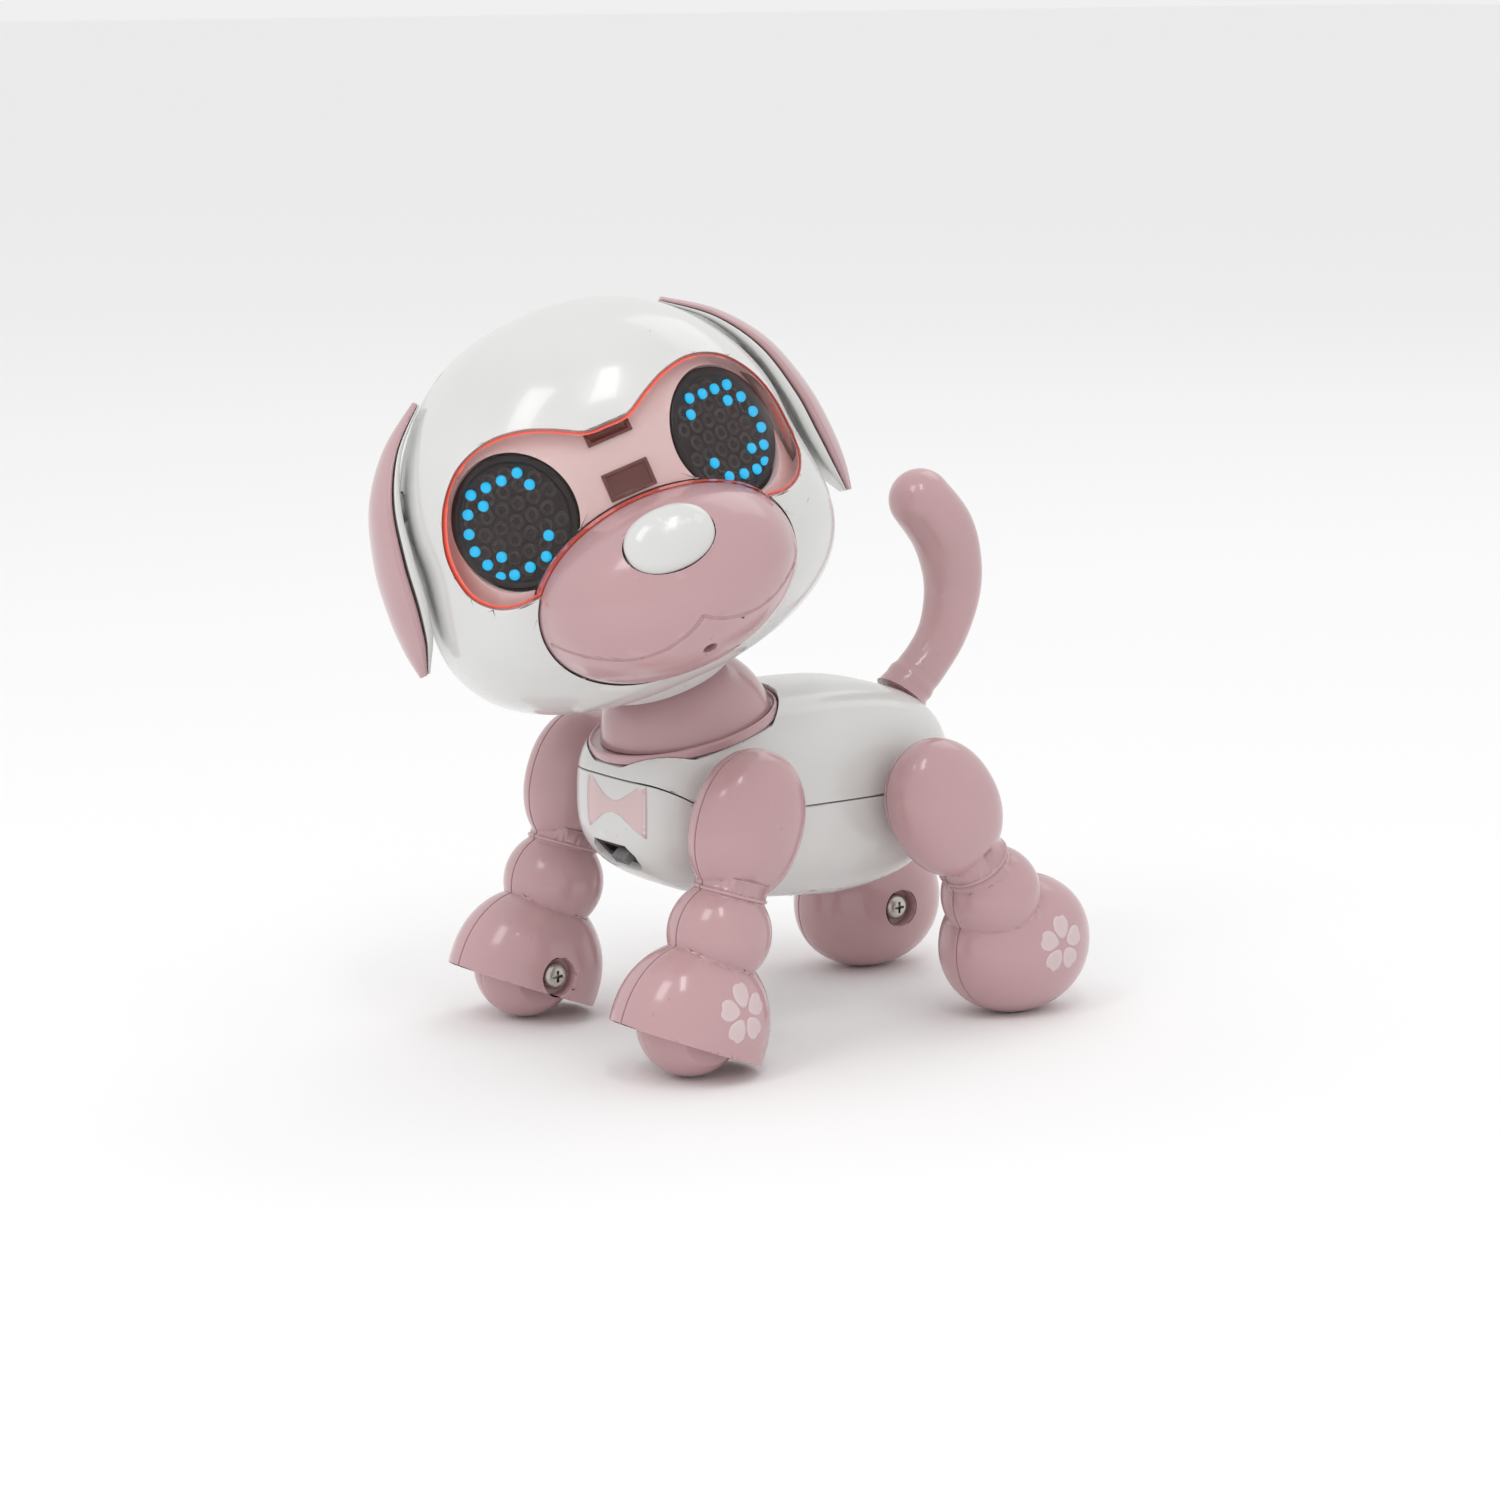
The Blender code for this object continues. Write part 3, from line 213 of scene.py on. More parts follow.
def plastic(name, colour, roughness=0.22, coat=0.35, specks=0.0, peel=0.012):
    """Moulded plastic: colour drift, uneven gloss, a fine skin, lighter rubbed edges and painted shade
    in corners and creases.
    """
    look, nodes, links, shader, coordinates = new_look(name)
    for socket, number in (("Coat Weight", coat), ("Coat Roughness", 0.06), ("IOR", 1.5)):
        shader.inputs[socket].default_value = number
    drift = noise(nodes, links, coordinates, 55.0, 3.0)
    base = ramp(nodes, links, drift, shaded(colour, 0.955), shaded(colour, 1.025), 0.3, 0.72)

    # Pointiness lightens convex edges as rubbed wear and darkens concave corners and creases with
    # painted shade.
    edges = nodes.new("ShaderNodeNewGeometry").outputs["Pointiness"]
    rubbed_edges_and_corner_shade = spread(nodes, links, edges, 0.93, 1.05, 0.47, 0.56)
    tint = nodes.new("ShaderNodeMix")
    tint.data_type = "RGBA"
    tint.blend_type = "MULTIPLY"
    tint.inputs["Factor"].default_value = 1.0
    links.new(base, tint.inputs["A"])
    links.new(rubbed_edges_and_corner_shade, tint.inputs["B"])
    last = tint.outputs["Result"]
    if specks:
        dots = noise(nodes, links, coordinates, 900.0)
        dirt = nodes.new("ShaderNodeMix")
        dirt.data_type = "RGBA"
        dirt.inputs["B"].default_value = (*shaded(colour, 0.45), 1)
        links.new(spread(nodes, links, dots, 0.0, specks, 0.74, 0.80), dirt.inputs["Factor"])
        links.new(last, dirt.inputs["A"])
        last = dirt.outputs["Result"]
    links.new(last, shader.inputs["Base Color"])

    gloss = noise(nodes, links, coordinates, 140.0, 4.0)
    uneven = spread(nodes, links, gloss, roughness * 0.85, roughness * 1.2, 0.3, 0.7)
    links.new(uneven, shader.inputs["Roughness"])
    bump = nodes.new("ShaderNodeBump")
    bump.inputs["Strength"].default_value = peel
    bump.inputs["Distance"].default_value = 0.0004
    links.new(noise(nodes, links, coordinates, 700.0), bump.inputs["Height"])
    links.new(bump.outputs["Normal"], shader.inputs["Normal"])
    return look


def metal(name, colour, roughness):
    """Plated metal with fine turning marks."""
    look, nodes, links, shader, coordinates = new_look(name)
    shader.inputs["Metallic"].default_value = 1.0
    marks = noise(nodes, links, coordinates, 1500.0, 5.0)
    links.new(ramp(nodes, links, marks, shaded(colour, 0.75), colour), shader.inputs["Base Color"])
    uneven = spread(nodes, links, marks, roughness * 0.7, roughness * 1.4)
    links.new(uneven, shader.inputs["Roughness"])
    return look


def clear(name, colour, transmission, ior, roughness):
    """Clear tinted plastic with faint haze and rub marks."""
    look, nodes, links, shader, coordinates = new_look(name)
    shader.inputs["Transmission Weight"].default_value = transmission
    shader.inputs["IOR"].default_value = ior
    haze = noise(nodes, links, coordinates, 90.0, 3.0)
    tone = ramp(nodes, links, haze, shaded(colour, 0.96), shaded(colour, 1.03))
    links.new(tone, shader.inputs["Base Color"])
    uneven = spread(nodes, links, haze, roughness * 0.5, roughness * 1.5)
    links.new(uneven, shader.inputs["Roughness"])
    return look


def lit(look, colour, strength):
    """Gives a material light of its own."""
    shader = look.node_tree.nodes["Principled BSDF"]
    shader.inputs["Emission Color"].default_value = (*colour, 1)
    shader.inputs["Emission Strength"].default_value = strength
    return look


WHITE = plastic("white_gloss", (0.70, 0.70, 0.685), 0.2, specks=0.5)
PINK = plastic("pink_gloss", (0.53, 0.325, 0.34), 0.2, specks=0.4)
PLATE = plastic("pale_pink", (0.80, 0.665, 0.655), 0.4, 0.0)
BLACK = plastic("black_plastic", (0.010, 0.0075, 0.0075), 0.42, 0.0)
CUPS = plastic("black_cups", (0.016, 0.013, 0.013), 0.25, 0.4)
GREY = plastic("grey_plastic", (0.20, 0.20, 0.205), 0.45, 0.0, peel=0.1)
PRINT_PINK = plastic("print_pink", (0.70, 0.52, 0.52), 0.4, 0.1)
PRINT_WHITE = plastic("print_white", (0.66, 0.52, 0.53), 0.4, 0.1)
WINDOW = plastic("dark_window", (0.16, 0.045, 0.035), 0.25, 0.4)
GREEN = plastic("board", (0.03, 0.2, 0.08), 0.5, 0.0)
BRASS = metal("contact_metal", (0.75, 0.5, 0.25), 0.3)
NICKEL = metal("steel", (0.62, 0.60, 0.56), 0.28)
VISOR = clear("clear_pink", (1.0, 0.92, 0.915), 1.0, 1.17, 0.02)
# Red colour and glow of the visor's edges are painted light, standing in for the light the tinted visor
# gathers along its rim.
VISOR_EDGE_GLOW = clear("clear_pink_painted_edge_glow", (0.88, 0.13, 0.09), 0.2, 1.4, 0.15)
LAMP_LIGHT = (0.0, 0.47, 0.84)
LAMP = lit(plastic("lamp_cyan", shaded(LAMP_LIGHT, 0.25), 0.3), LAMP_LIGHT, 1.0)

# Painted glow: the plate and the visor's edges shine with light of their own, in place of the light
# that the clear visor spreads over the plate behind it and gathers in its own edges.
lit(PLATE, (0.95, 0.76, 0.75), 0.10)
lit(VISOR_EDGE_GLOW, (0.90, 0.12, 0.07), 0.14)

SLOTS = {"white_gloss": WHITE, "pink_gloss": PINK, "clear_pink": VISOR, "pale_pink": PLATE,
         "black_plastic": BLACK, "grey_plastic": GREY, "board": GREEN, "contact_metal": BRASS,
         "steel": NICKEL}


# ---------------------------------------------------------------- workshop

def linked(name, data):
    """A new object in the scene."""
    made = bpy.data.objects.new(name, data)
    bpy.context.scene.collection.objects.link(made)
    return made


def solid(shape, at=(0, 0, 0), turn=(0, 0, 0)):
    """A workshop object in millimetres, with its place in its mesh."""
    matrix = Matrix.LocRotScale(Vector(at), Euler(turn), None)
    bmesh.ops.transform(shape, matrix=matrix, verts=shape.verts)
    bmesh.ops.recalc_face_normals(shape, faces=shape.faces)
    mesh = bpy.data.meshes.new("workshop")
    shape.to_mesh(mesh)
    shape.free()
    return linked("workshop", mesh)


def bake(target):
    """Applies an object's modifiers to its mesh."""
    graph = bpy.context.evaluated_depsgraph_get()
    mesh = bpy.data.meshes.new_from_object(target.evaluated_get(graph))
    target.modifiers.clear()
    target.data = mesh


def combine(target, operation, *others):
    """One exact Boolean with all the other bodies at once; the others are used up."""
    step = target.modifiers.new("step", "BOOLEAN")
    step.operation = operation
    step.solver = "EXACT"
    if len(others) == 1:
        step.object = others[0]
    else:
        group = bpy.data.collections.new("tools")
        for other in others:
            group.objects.link(other)
        step.operand_type = "COLLECTION"
        step.collection = group
    bake(target)
    for other in others:
        bpy.data.objects.remove(other)


def combine_each(target, operation, *others):
    """Exact Booleans with the other bodies, one after another."""
    for other in others:
        combine(target, operation, other)


def copied(source):
    """A copy of a workshop object, to use up in a Boolean."""
    return linked("workshop", source.data.copy())


def soften(target, width, angle=38.0, segments=2):
    """Rounds the sharp edges."""
    weld = target.modifiers.new("weld", "WELD")
    weld.merge_threshold = 0.02
    round_off = target.modifiers.new("round", "BEVEL")
    round_off.width = width
    round_off.segments = segments
    round_off.limit_method = "ANGLE"
    round_off.angle_limit = radians(angle)
    round_off.use_clamp_overlap = False
    bake(target)


def surface_of(mesh):
    """A mesh as a surface to look up points on."""
    return BVHTree.FromPolygons([v.co for v in mesh.vertices], [p.vertices for p in mesh.polygons])


def settle(target, skin):
    """Puts corners that the rounding pushed out of a surface back on it."""
    tree = surface_of(skin.data)
    for vert in target.data.vertices:
        near, normal, _, _ = tree.find_nearest(vert.co)
        if (vert.co - near).dot(normal) > 0.004:
            vert.co = near


def true_normals(target, sources):
    """Gives faces that lie on one of the source surfaces that surface's own smooth normals."""
    mesh = target.data
    mesh.shade_smooth()
    mesh.set_sharp_from_angle(angle=radians(40))
    normals = [Vector(n.vector) for n in mesh.corner_normals]
    for source in sources:
        skin = source.data
        tree = surface_of(skin)
        for face in mesh.polygons:
            hit = tree.find_nearest(face.center, 0.12)
            if hit[0] is None:
                continue
            level = hit[1].dot(face.normal)
            flush = all(tree.find_nearest(mesh.vertices[i].co)[3] < 0.006 for i in face.vertices)
            if abs(level) < 0.93 and not flush:
                continue
            flip = 1.0 if level > 0 or flush else -1.0
            for corner in face.loop_indices:
                spot = mesh.vertices[mesh.loops[corner].vertex_index].co
                near, _, index, _ = tree.find_nearest(spot)
                ring = skin.polygons[index].vertices
                shares = poly_3d_calc([skin.vertices[i].co for i in ring], near)
                blend = sum((skin.vertices[i].normal * s for i, s in zip(ring, shares)), Vector())
                if blend.length > 0.5:
                    normals[corner] = blend.normalized() * flip
    mesh.normals_split_custom_set(normals)


def finish_shell(shell, skin, width=SOFT_EDGE):
    """Rounds a moulding's edges and keeps the rest of it on its true outer surface."""
    soften(shell, width)
    settle(shell, skin)
    true_normals(shell, [skin])


def place(target, name, matrix, look, body, *nodes, mirror=False, slot=None, looks=()):
    """Sets a finished workshop object down in the frame, on its body, in place of its CAD nodes."""
    mesh = target.data.copy()
    if mirror:
        matrix = matrix @ MIRROR
    mesh.transform(Matrix.Scale(MM, 4) @ matrix)
    if mirror:
        mesh.flip_normals()
    mesh.materials.clear()
    for material in (look, *looks):
        mesh.materials.append(material)
    mesh.name = name
    made = linked(name, mesh)
    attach(made, body)
    if nodes:
        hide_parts(*nodes)
    return made


def smoothed(target, angle=40.0):
    """Smooth shading, except across sharp edges."""
    target.data.shade_smooth()
    target.data.set_sharp_from_angle(angle=radians(angle))
    return target


def oval(half, power, centre, point, pair=None, single=1):
    """Moves a point of the unit sphere out to a boxy ellipsoid, as the CAD does."""
    pair = pair or power
    share = [abs(point[k] / half[k]) for k in range(3)]
    flat = sum(share[k] ** pair for k in range(3) if k != single) ** (power / pair)
    return Vector(centre) + Vector(point) * (flat + share[single] ** power) ** (-1.0 / power)


def blob(half, power=2.0, centre=(0, 0, 0), around=64, along=32, across=False, bend=None, pair=None,
         single=1):
    """A boxy ellipsoid; across turns its poles to X, and bend moves its finished points."""
    shape = bmesh.new()
    bmesh.ops.create_uvsphere(shape, u_segments=around, v_segments=along, radius=1.0)
    if across:
        bmesh.ops.rotate(shape, matrix=Matrix.Rotation(pi / 2, 3, "Y"), verts=shape.verts)
    for vert in shape.verts:
        vert.co = oval(half, power, centre, vert.co.normalized(), pair, single)
        if bend:
            vert.co = bend(vert.co)
    return shape


def turned(profile, steps=64, closed=False):
    """A body of revolution about Z from (radius, height) points; closed makes a ring."""
    shape = bmesh.new()
    verts = [shape.verts.new((r, 0.0, z)) for r, z in profile]
    pairs = list(zip(verts, verts[1:])) + ([(verts[-1], verts[0])] if closed else [])
    edges = [shape.edges.new(pair) for pair in pairs]
    bmesh.ops.spin(shape, geom=verts + edges, axis=(0, 0, 1), cent=(0, 0, 0), dvec=(0, 0, 0),
                   angle=2 * pi, steps=steps, use_merge=True)
    bmesh.ops.remove_doubles(shape, verts=shape.verts, dist=1e-4)
    return shape


def rounded(profile, radius, closed=False, steps=3):
    """A profile with its corners cut into small arcs."""
    made, count = [], len(profile)
    for i, point in enumerate(profile):
        ends = not closed and i in (0, count - 1)
        before, here, after = Vector(profile[i - 1]), Vector(point), Vector(profile[(i + 1) % count])
        if ends or (here - before).length < 1e-6 or (after - here).length < 1e-6:
            made.append(tuple(here))
            continue
        reach = min(radius, (here - before).length * 0.45, (after - here).length * 0.45)
        start = here + (before - here).normalized() * reach
        stop = here + (after - here).normalized() * reach
        for s in range(steps + 1):
            t = s / steps
            made.append(tuple(start * (1 - t) ** 2 + here * 2 * t * (1 - t) + stop * t ** 2))
    return made


def rod(radius, low, high, steps=32):
    """A cylinder along Z."""
    return turned([(0, low), (radius, low), (radius, high), (0, high)], steps)


def block(low, high):
    """The mesh of a box between two corners."""
    shape = bmesh.new()
    size = [b - a for a, b in zip(low, high)]
    middle = [(a + b) / 2 for a, b in zip(low, high)]
    bmesh.ops.create_cube(shape, size=1.0)
    bmesh.ops.scale(shape, vec=size, verts=shape.verts)
    bmesh.ops.translate(shape, vec=middle, verts=shape.verts)
    return shape


def box(low, high, at=(0, 0, 0), turn=(0, 0, 0)):
    """A box between two corners as a workshop object."""
    return solid(block(low, high), at, turn)


def prism(outline, low, high, axis):
    """An outline pushed from low to high along axis ('X' or 'Y'); points are the other two axes."""
    shape = bmesh.new()
    spots = [(low, u, v) if axis == "X" else (u, low, v) for u, v in outline]
    face = shape.faces.new([shape.verts.new(spot) for spot in spots])
    far = bmesh.ops.extrude_face_region(shape, geom=[face])["geom"]
    moved = [g for g in far if isinstance(g, bmesh.types.BMVert)]
    push = (high - low, 0, 0) if axis == "X" else (0, high - low, 0)
    bmesh.ops.translate(shape, vec=push, verts=moved)
    return shape


def bridge(shape, rings):
    """Faces between each closed ring of corners and the next one."""
    for a, b in zip(rings, rings[1:]):
        for k in range(len(a)):
            j = (k + 1) % len(a)
            shape.faces.new((a[k], a[j], b[j], b[k]))


def grown(outline, by):
    """An outline moved outwards by a distance, point by point."""
    count, moved = len(outline), []
    for i, (u, v) in enumerate(outline):
        before, after = outline[i - 1], outline[(i + 1) % count]
        along = (Vector(after) - Vector(before)).normalized()
        moved.append((u - along.y * by, v + along.x * by))
    return moved


def smooth_line(points, per=6, closed=False):
    """A smooth curve through points of any length."""
    made, count = [], len(points)
    for i in range(count if closed else count - 1):
        if closed:
            near = [points[(i + k) % count] for k in (-1, 0, 1, 2)]
        else:
            near = [points[min(max(i + k, 0), count - 1)] for k in (-1, 0, 1, 2)]
        for s in range(per):
            t = s / per
            made.append(tuple(0.5 * (2 * b + (c - a) * t + (2 * a - 5 * b + 4 * c - d) * t * t
                                     + (3 * b - a - 3 * c + d) * t ** 3) for a, b, c, d in zip(*near)))
    return made if closed else made + [tuple(points[-1])]


def sweep(path, radii, around):
    """A round tube along a path; the radius may change."""
    shape = bmesh.new()
    rings, last = [], len(path) - 1
    side = None
    for i, spot in enumerate(path):
        along = (Vector(path[min(last, i + 1)]) - Vector(path[max(0, i - 1)])).normalized()
        if side is None:
            side = along.orthogonal().normalized()
        side = (side - along * side.dot(along)).normalized()
        other = along.cross(side)
        rings.append([shape.verts.new(Vector(spot) + (side * cos(a) + other * sin(a)) * radii[i])
                      for a in [2 * pi * k / around for k in range(around)]])
    bridge(shape, rings)
    shape.faces.new(rings[0])
    shape.faces.new(rings[-1])
    return shape


def smooth_step(edge0, edge1, value):
    """0 below edge0, 1 above edge1, and a soft change between."""
    t = min(1.0, max(0.0, (value - edge0) / (edge1 - edge0)))
    return t * t * (3 - 2 * t)


def facing(way):
    """Rotation that points Z along a direction."""
    return Vector(way).to_track_quat("Z", "Y").to_euler()


def screw(length, head=1.9, shaft=0.95):
    """A cross-head screw along Z: head up to z = 0, shaft down."""
    profile = [(0, 0), (head * 0.55, -0.04), (head * 0.85, -0.2), (head, -0.5),
               (head, -SCREW_HEAD + 0.1), (head - 0.1, -SCREW_HEAD), (shaft, -SCREW_HEAD)]
    turn, z = 0, -SCREW_HEAD - 0.4
    while z > -length + 0.6:
        profile.append((shaft if turn % 2 else shaft * 0.78, z))
        turn += 1
        z -= 0.3
    profile += [(shaft * 0.4, -length), (0, -length)]
    made = solid(turned(profile, 32))
    wing = head * 0.58
    for size in ((wing, 0.24), (0.24, wing)):
        slot_cut = block((-size[0], -size[1], -0.75), (size[0], size[1], 0.5))
        for vert in slot_cut.verts:
            if vert.co.z < 0:
                vert.co.x *= 0.55
                vert.co.y *= 0.55
        combine(made, "DIFFERENCE", solid(slot_cut))
    return smoothed(made, 35)


def place_screw(made, name, matrix, body, node):
    """Sets a screw down."""
    place(made, name, matrix, NICKEL, body, node, slot="steel")


# ---------------------------------------------------------------- body

def body_bend(point):
    """Flattens the back and lifts the belly towards the chest."""
    away = point - BODY_AT
    if away.z > 0:
        away.z *= BODY_TOP_SHARE
    else:
        away.z *= 1.0 - 0.006 * max(0.0, 6.0 - away.y)
    return BODY_AT + away


def body_blob(inset=0.0, around=144, along=72):
    """The body's outer surface, or one a distance inside it."""
    half = [s - inset for s in BODY_SIZE]
    return solid(blob(half, BODY_POWER, BODY_AT, around, along, bend=body_bend,
                      pair=BODY_PLAN_POWER, single=2))


def below_seam(shift):
    """The space under the seam between the body's halves; the seam climbs softly at the chest."""
    climb = [(-12.0, SEAM_Z), (-15.5, SEAM_Z), (-19.5, 31.5), (-23.5, 33.7), (-26.5, CHEST_SEAM_Z),
             (-30.0, CHEST_SEAM_Z)]
    curve = [(40, SEAM_Z)] + smooth_line(climb, 5) + [(-40, CHEST_SEAM_Z)]
    return solid(prism([(y, z + shift) for y, z in curve] + [(-40, 0), (40, 0)], -20, 20, "X"))


def build_body():
    """Shells, battery door, screws, neck dish and dome, switch and the printed bow."""
    skin, inner = body_blob(), body_blob(WALL, 48, 24)
    holes = [solid(rod(HUB_RADIUS + GAP, 7, 20), (0, hip.y, hip.z), (0, side * pi / 2, 0))
             for hip in (FRONT_HIP, REAR_HIP) for side in (1, -1)]
    seat = BASE_RADIUS + 0.2
    pocket = solid(rod(seat, -1.1, 25, 96), BASE_AT, (BASE_TILT, 0, 0))
    tail_seat = TAIL_RADIUS[0] + 0.2
    step = [(0, -8), (2.3, -8), (2.3, -0.3), (tail_seat, -0.3), (tail_seat, 6), (0, 6)]
    tail_room = solid(turned(step, 48), (0, *TAIL_SPINE[0]), (-TAIL_LEAN, 0, 0))

    upper = copied(skin)
    combine_each(upper, "DIFFERENCE", copied(inner), below_seam(SEAM / 2), pocket, tail_room,
                 *[copied(h) for h in holes])
    finish_shell(upper, skin)
    place(upper, "body_top_moulding", BODY, WHITE, "body", "body_upper_shell", slot="white_gloss")

    posts, screw_holes = [], []
    for x, y in BODY_SCREWS:
        post = solid(rod(2.4, 0, 27.0, 24), (x, y, 0))
        combine(post, "INTERSECT", body_blob(0.25, 48, 24))
        posts.append(post)
        step = [(0, 5), (2.05, 5), (2.05, SCREW_SEAT), (1.15, SCREW_SEAT), (1.15, 40), (0, 40)]
        screw_holes.append(solid(turned(step, 24), (x, y, 0)))
    above = box((-19, -39, 2), (19, 39, 60))
    combine(above, "DIFFERENCE", below_seam(-SEAM / 2))
    spots = [(0, 0), (2.4, 0), (-2.4, 0), (0, 2.4), (0, -2.4)]
    sound = [solid(rod(0.7, 10, 20, 16), (x, SPEAKER_Y + y, 0)) for x, y in spots]
    opening = box((-DOOR_HALF_WIDTH - 0.15, DOOR_FRONT - 0.15, 5),
                  (DOOR_HALF_WIDTH + 0.15, DOOR_BACK + 0.15, 21.4))
    window = [(-4.6, -0.9), (-3.4, -2.2), (3.4, -2.2), (4.6, -0.9), (4.6, 0.9), (3.4, 2.2), (-3.4, 2.2),
              (-4.6, 0.9)]
    slot_cut = solid(prism(window, -8, 3.5, "Y"), SWITCH_AT, (SWITCH_TILT + pi / 2, 0, 0))
    lower = copied(skin)
    combine(lower, "DIFFERENCE", inner)
    combine(lower, "UNION", *posts)
    combine(lower, "DIFFERENCE", above, *holes, *screw_holes, *sound, opening, slot_cut)
    finish_shell(lower, skin)
    shell = place(lower, "body_bottom_moulding", BODY, WHITE, "body", "body_lower_shell",
                  slot="white_gloss")

    door = copied(skin)
    panel = box((-DOOR_HALF_WIDTH, DOOR_FRONT, 5), (DOOR_HALF_WIDTH, DOOR_BACK, 21.1))
    combine(door, "INTERSECT", panel)
    combine(door, "DIFFERENCE", body_blob(WALL, 48, 24))
    combine(door, "UNION", solid(rod(2.2, 17.6, 21.8, 24), (0, DOOR_SCREW_Y, 0)))
    step = [(0, 10), (1.9, 10), (1.9, 18.9), (0.95, 18.9), (0.95, 25), (0, 25)]
    combine(door, "DIFFERENCE", solid(turned(step, 32), (0, DOOR_SCREW_Y, 0)))
    for k in range(5):
        half = 3.0 - 0.3 * k
        spot = (0, DOOR_FRONT + 2.0 + 1.1 * k, 0)
        combine(door, "DIFFERENCE", box((-half, -0.25, 5), (half, 0.25, 16.62), spot))
    soften(door, 0.12)
    true_normals(door, [skin])
    place(door, "battery_door_moulding", BODY, WHITE, "battery_door", "battery_door",
          slot="white_gloss")

    upside_down = Matrix.Rotation(pi, 4, "X")
    for number, (x, y) in enumerate(BODY_SCREWS, 1):
        matrix = BODY @ Matrix.Translation((x, y, SCREW_SEAT - GAP - SCREW_HEAD)) @ upside_down
        place_screw(screw(9.5), f"belly_screw_{number}", matrix, "body", f"body_screw_{number}")
    matrix = BODY @ Matrix.Translation((0, DOOR_SCREW_Y, 17.6)) @ upside_down
    place_screw(screw(6.4, 1.6, 0.75), "door_screw", matrix, "battery_door", "battery_door_screw")

    # Neck dish and dome.
    rim = BASE_RADIUS
    dish = [(0, -0.8), (rim, -0.8), (rim, 0.2), (rim - 0.3, 0.5), (rim - 0.6, -0.1), (0, -0.1)]
    base = solid(turned(rounded(dish, 0.2), 128), BASE_AT, (BASE_TILT, 0, 0))
    place(smoothed(base), "neck_dish", BODY, PINK, "body", "neck_base", slot="pink_gloss")
    edge, top = -3.5, 7.8
    arc = [edge + (top - edge) * i / 28 for i in range(29)]
    dome = [(0, edge)] + [(sqrt(DOME_RADIUS ** 2 - (s - DOME_CENTRE) ** 2), s) for s in arc]
    dome += [(4.5, top), (4.5, 10.3), (1.15, 10.3), (1.15, 5.0), (0, 5.0)]
    dome = solid(turned(dome, 128), NECK_AT, (NECK_TILT, 0, 0))
    combine(dome, "DIFFERENCE", box((-20, -20, -20), (20, 20, 0.05), BASE_AT, (BASE_TILT, 0, 0)))
    place(smoothed(dome), "neck_ball", BODY, PINK, "body", "neck_dome", slot="pink_gloss")

    # Switch: a hooded frame round the slider's slot, and the ribbed slider.
    tilt = (SWITCH_TILT, 0, 0)
    case = box((-4.3, -1.9, 0.0), (4.3, 1.9, 3.2), SWITCH_AT, tilt)
    combine(case, "DIFFERENCE", box((-3.2, -0.9, -3), (3.2, 0.9, 1.4), SWITCH_AT, tilt))
    soften(case, 0.15)
    place(smoothed(case), "switch_frame", BODY, BLACK, "body", "switch_case", slot="black_plastic")
    knob = box((-0.2, -0.6, -1.3), (2.7, 0.6, 1.1))
    grooves = [box((x - 0.12, -2, -2), (x + 0.12, 2, -1.05)) for x in (0.35, 0.9, 1.45, 2.0)]
    combine_each(knob, "DIFFERENCE", *grooves)
    soften(knob, 0.08)
    matrix = BODY @ Matrix.Translation(SWITCH_AT) @ Matrix.Rotation(SWITCH_TILT, 4, "X")
    place(smoothed(knob), "switch_slider", matrix, GREY, "switch_knob", "switch_knob",
          slot="grey_plastic")
    print_bow(shell)


def printed(name, surface, patches, origin, across, up, towards, look, body):
    """A thin printed motif: flat patches pressed along a direction onto a finished piece.

    Patches are closed outlines in millimetres, star-shaped about their own middle.
    """
    mesh = surface.data
    tree = surface_of(mesh)
    shape = bmesh.new()
    shares = [0.0, 0.3, 0.55, 0.8, 1.0]
    for outline in patches:
        middle = sum((Vector(p) for p in outline), Vector((0, 0))) / len(outline)
        levels = []
        for lift in (0.00004, -0.00005):
            rings = []
            for share in shares:
                ring = []
                for point in (outline if share else outline[:1]):
                    u, v = middle + (Vector(point) - middle) * share
                    start = origin + (across * u + up * v) * MM - towards * 0.05
                    spot, normal, _, _ = tree.ray_cast(start, towards, 0.1)
                    ring.append(shape.verts.new(spot + normal * lift) if spot else None)
                rings.append(ring)
            levels.append(rings)
        count = len(outline)
        for k in range(count):
            j = (k + 1) % count
            for rings, order in ((levels[0], 1), (levels[1], -1)):
                quads = [(rings[0][0], rings[1][k], rings[1][j])]
                quads += [(a[k], b[k], b[j], a[j]) for a, b in zip(rings[1:], rings[2:])]
                for quad in quads:
                    if all(quad):
                        shape.faces.new(quad[::order])
            wall = (levels[0][-1][k], levels[1][-1][k], levels[1][-1][j], levels[0][-1][j])
            if all(wall):
                shape.faces.new(wall)
    bmesh.ops.recalc_face_normals(shape, faces=shape.faces)
    mesh = bpy.data.meshes.new(name)
    shape.to_mesh(mesh)
    shape.free()
    mesh.materials.append(look)
    mesh.shade_smooth()
    made = linked(name, mesh)
    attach(made, body)
    return made


def print_bow(shell):
    """Pale pink bow on the chest."""
    wing = [(0.6, 0.9), (2.4, 1.5), (5.2, 3.3), (5.8, 3.2), (6.0, 0.2), (5.8, -3.1), (5.2, -3.2),
            (2.4, -1.4), (0.6, -0.85)]
    bow = wing + [(-x, y) for x, y in reversed(wing)]
    origin = BODY @ Vector((2.0, -40, 31.4)) * MM
    printed("bow_print", shell, [smooth_line(bow, 4, True)], origin,
            Vector((1, 0, 0)), Vector((0, 0, 1)), Vector((0, 1, 0)), PRINT_PINK, "body")


# ---------------------------------------------------------------- head

def cheek(z):
    """How much wider or narrower than its ellipsoid the head is at a height."""
    return 1.0 + 0.24 * smooth_step(2, -24, z) - 0.07 * smooth_step(4, 24, z)


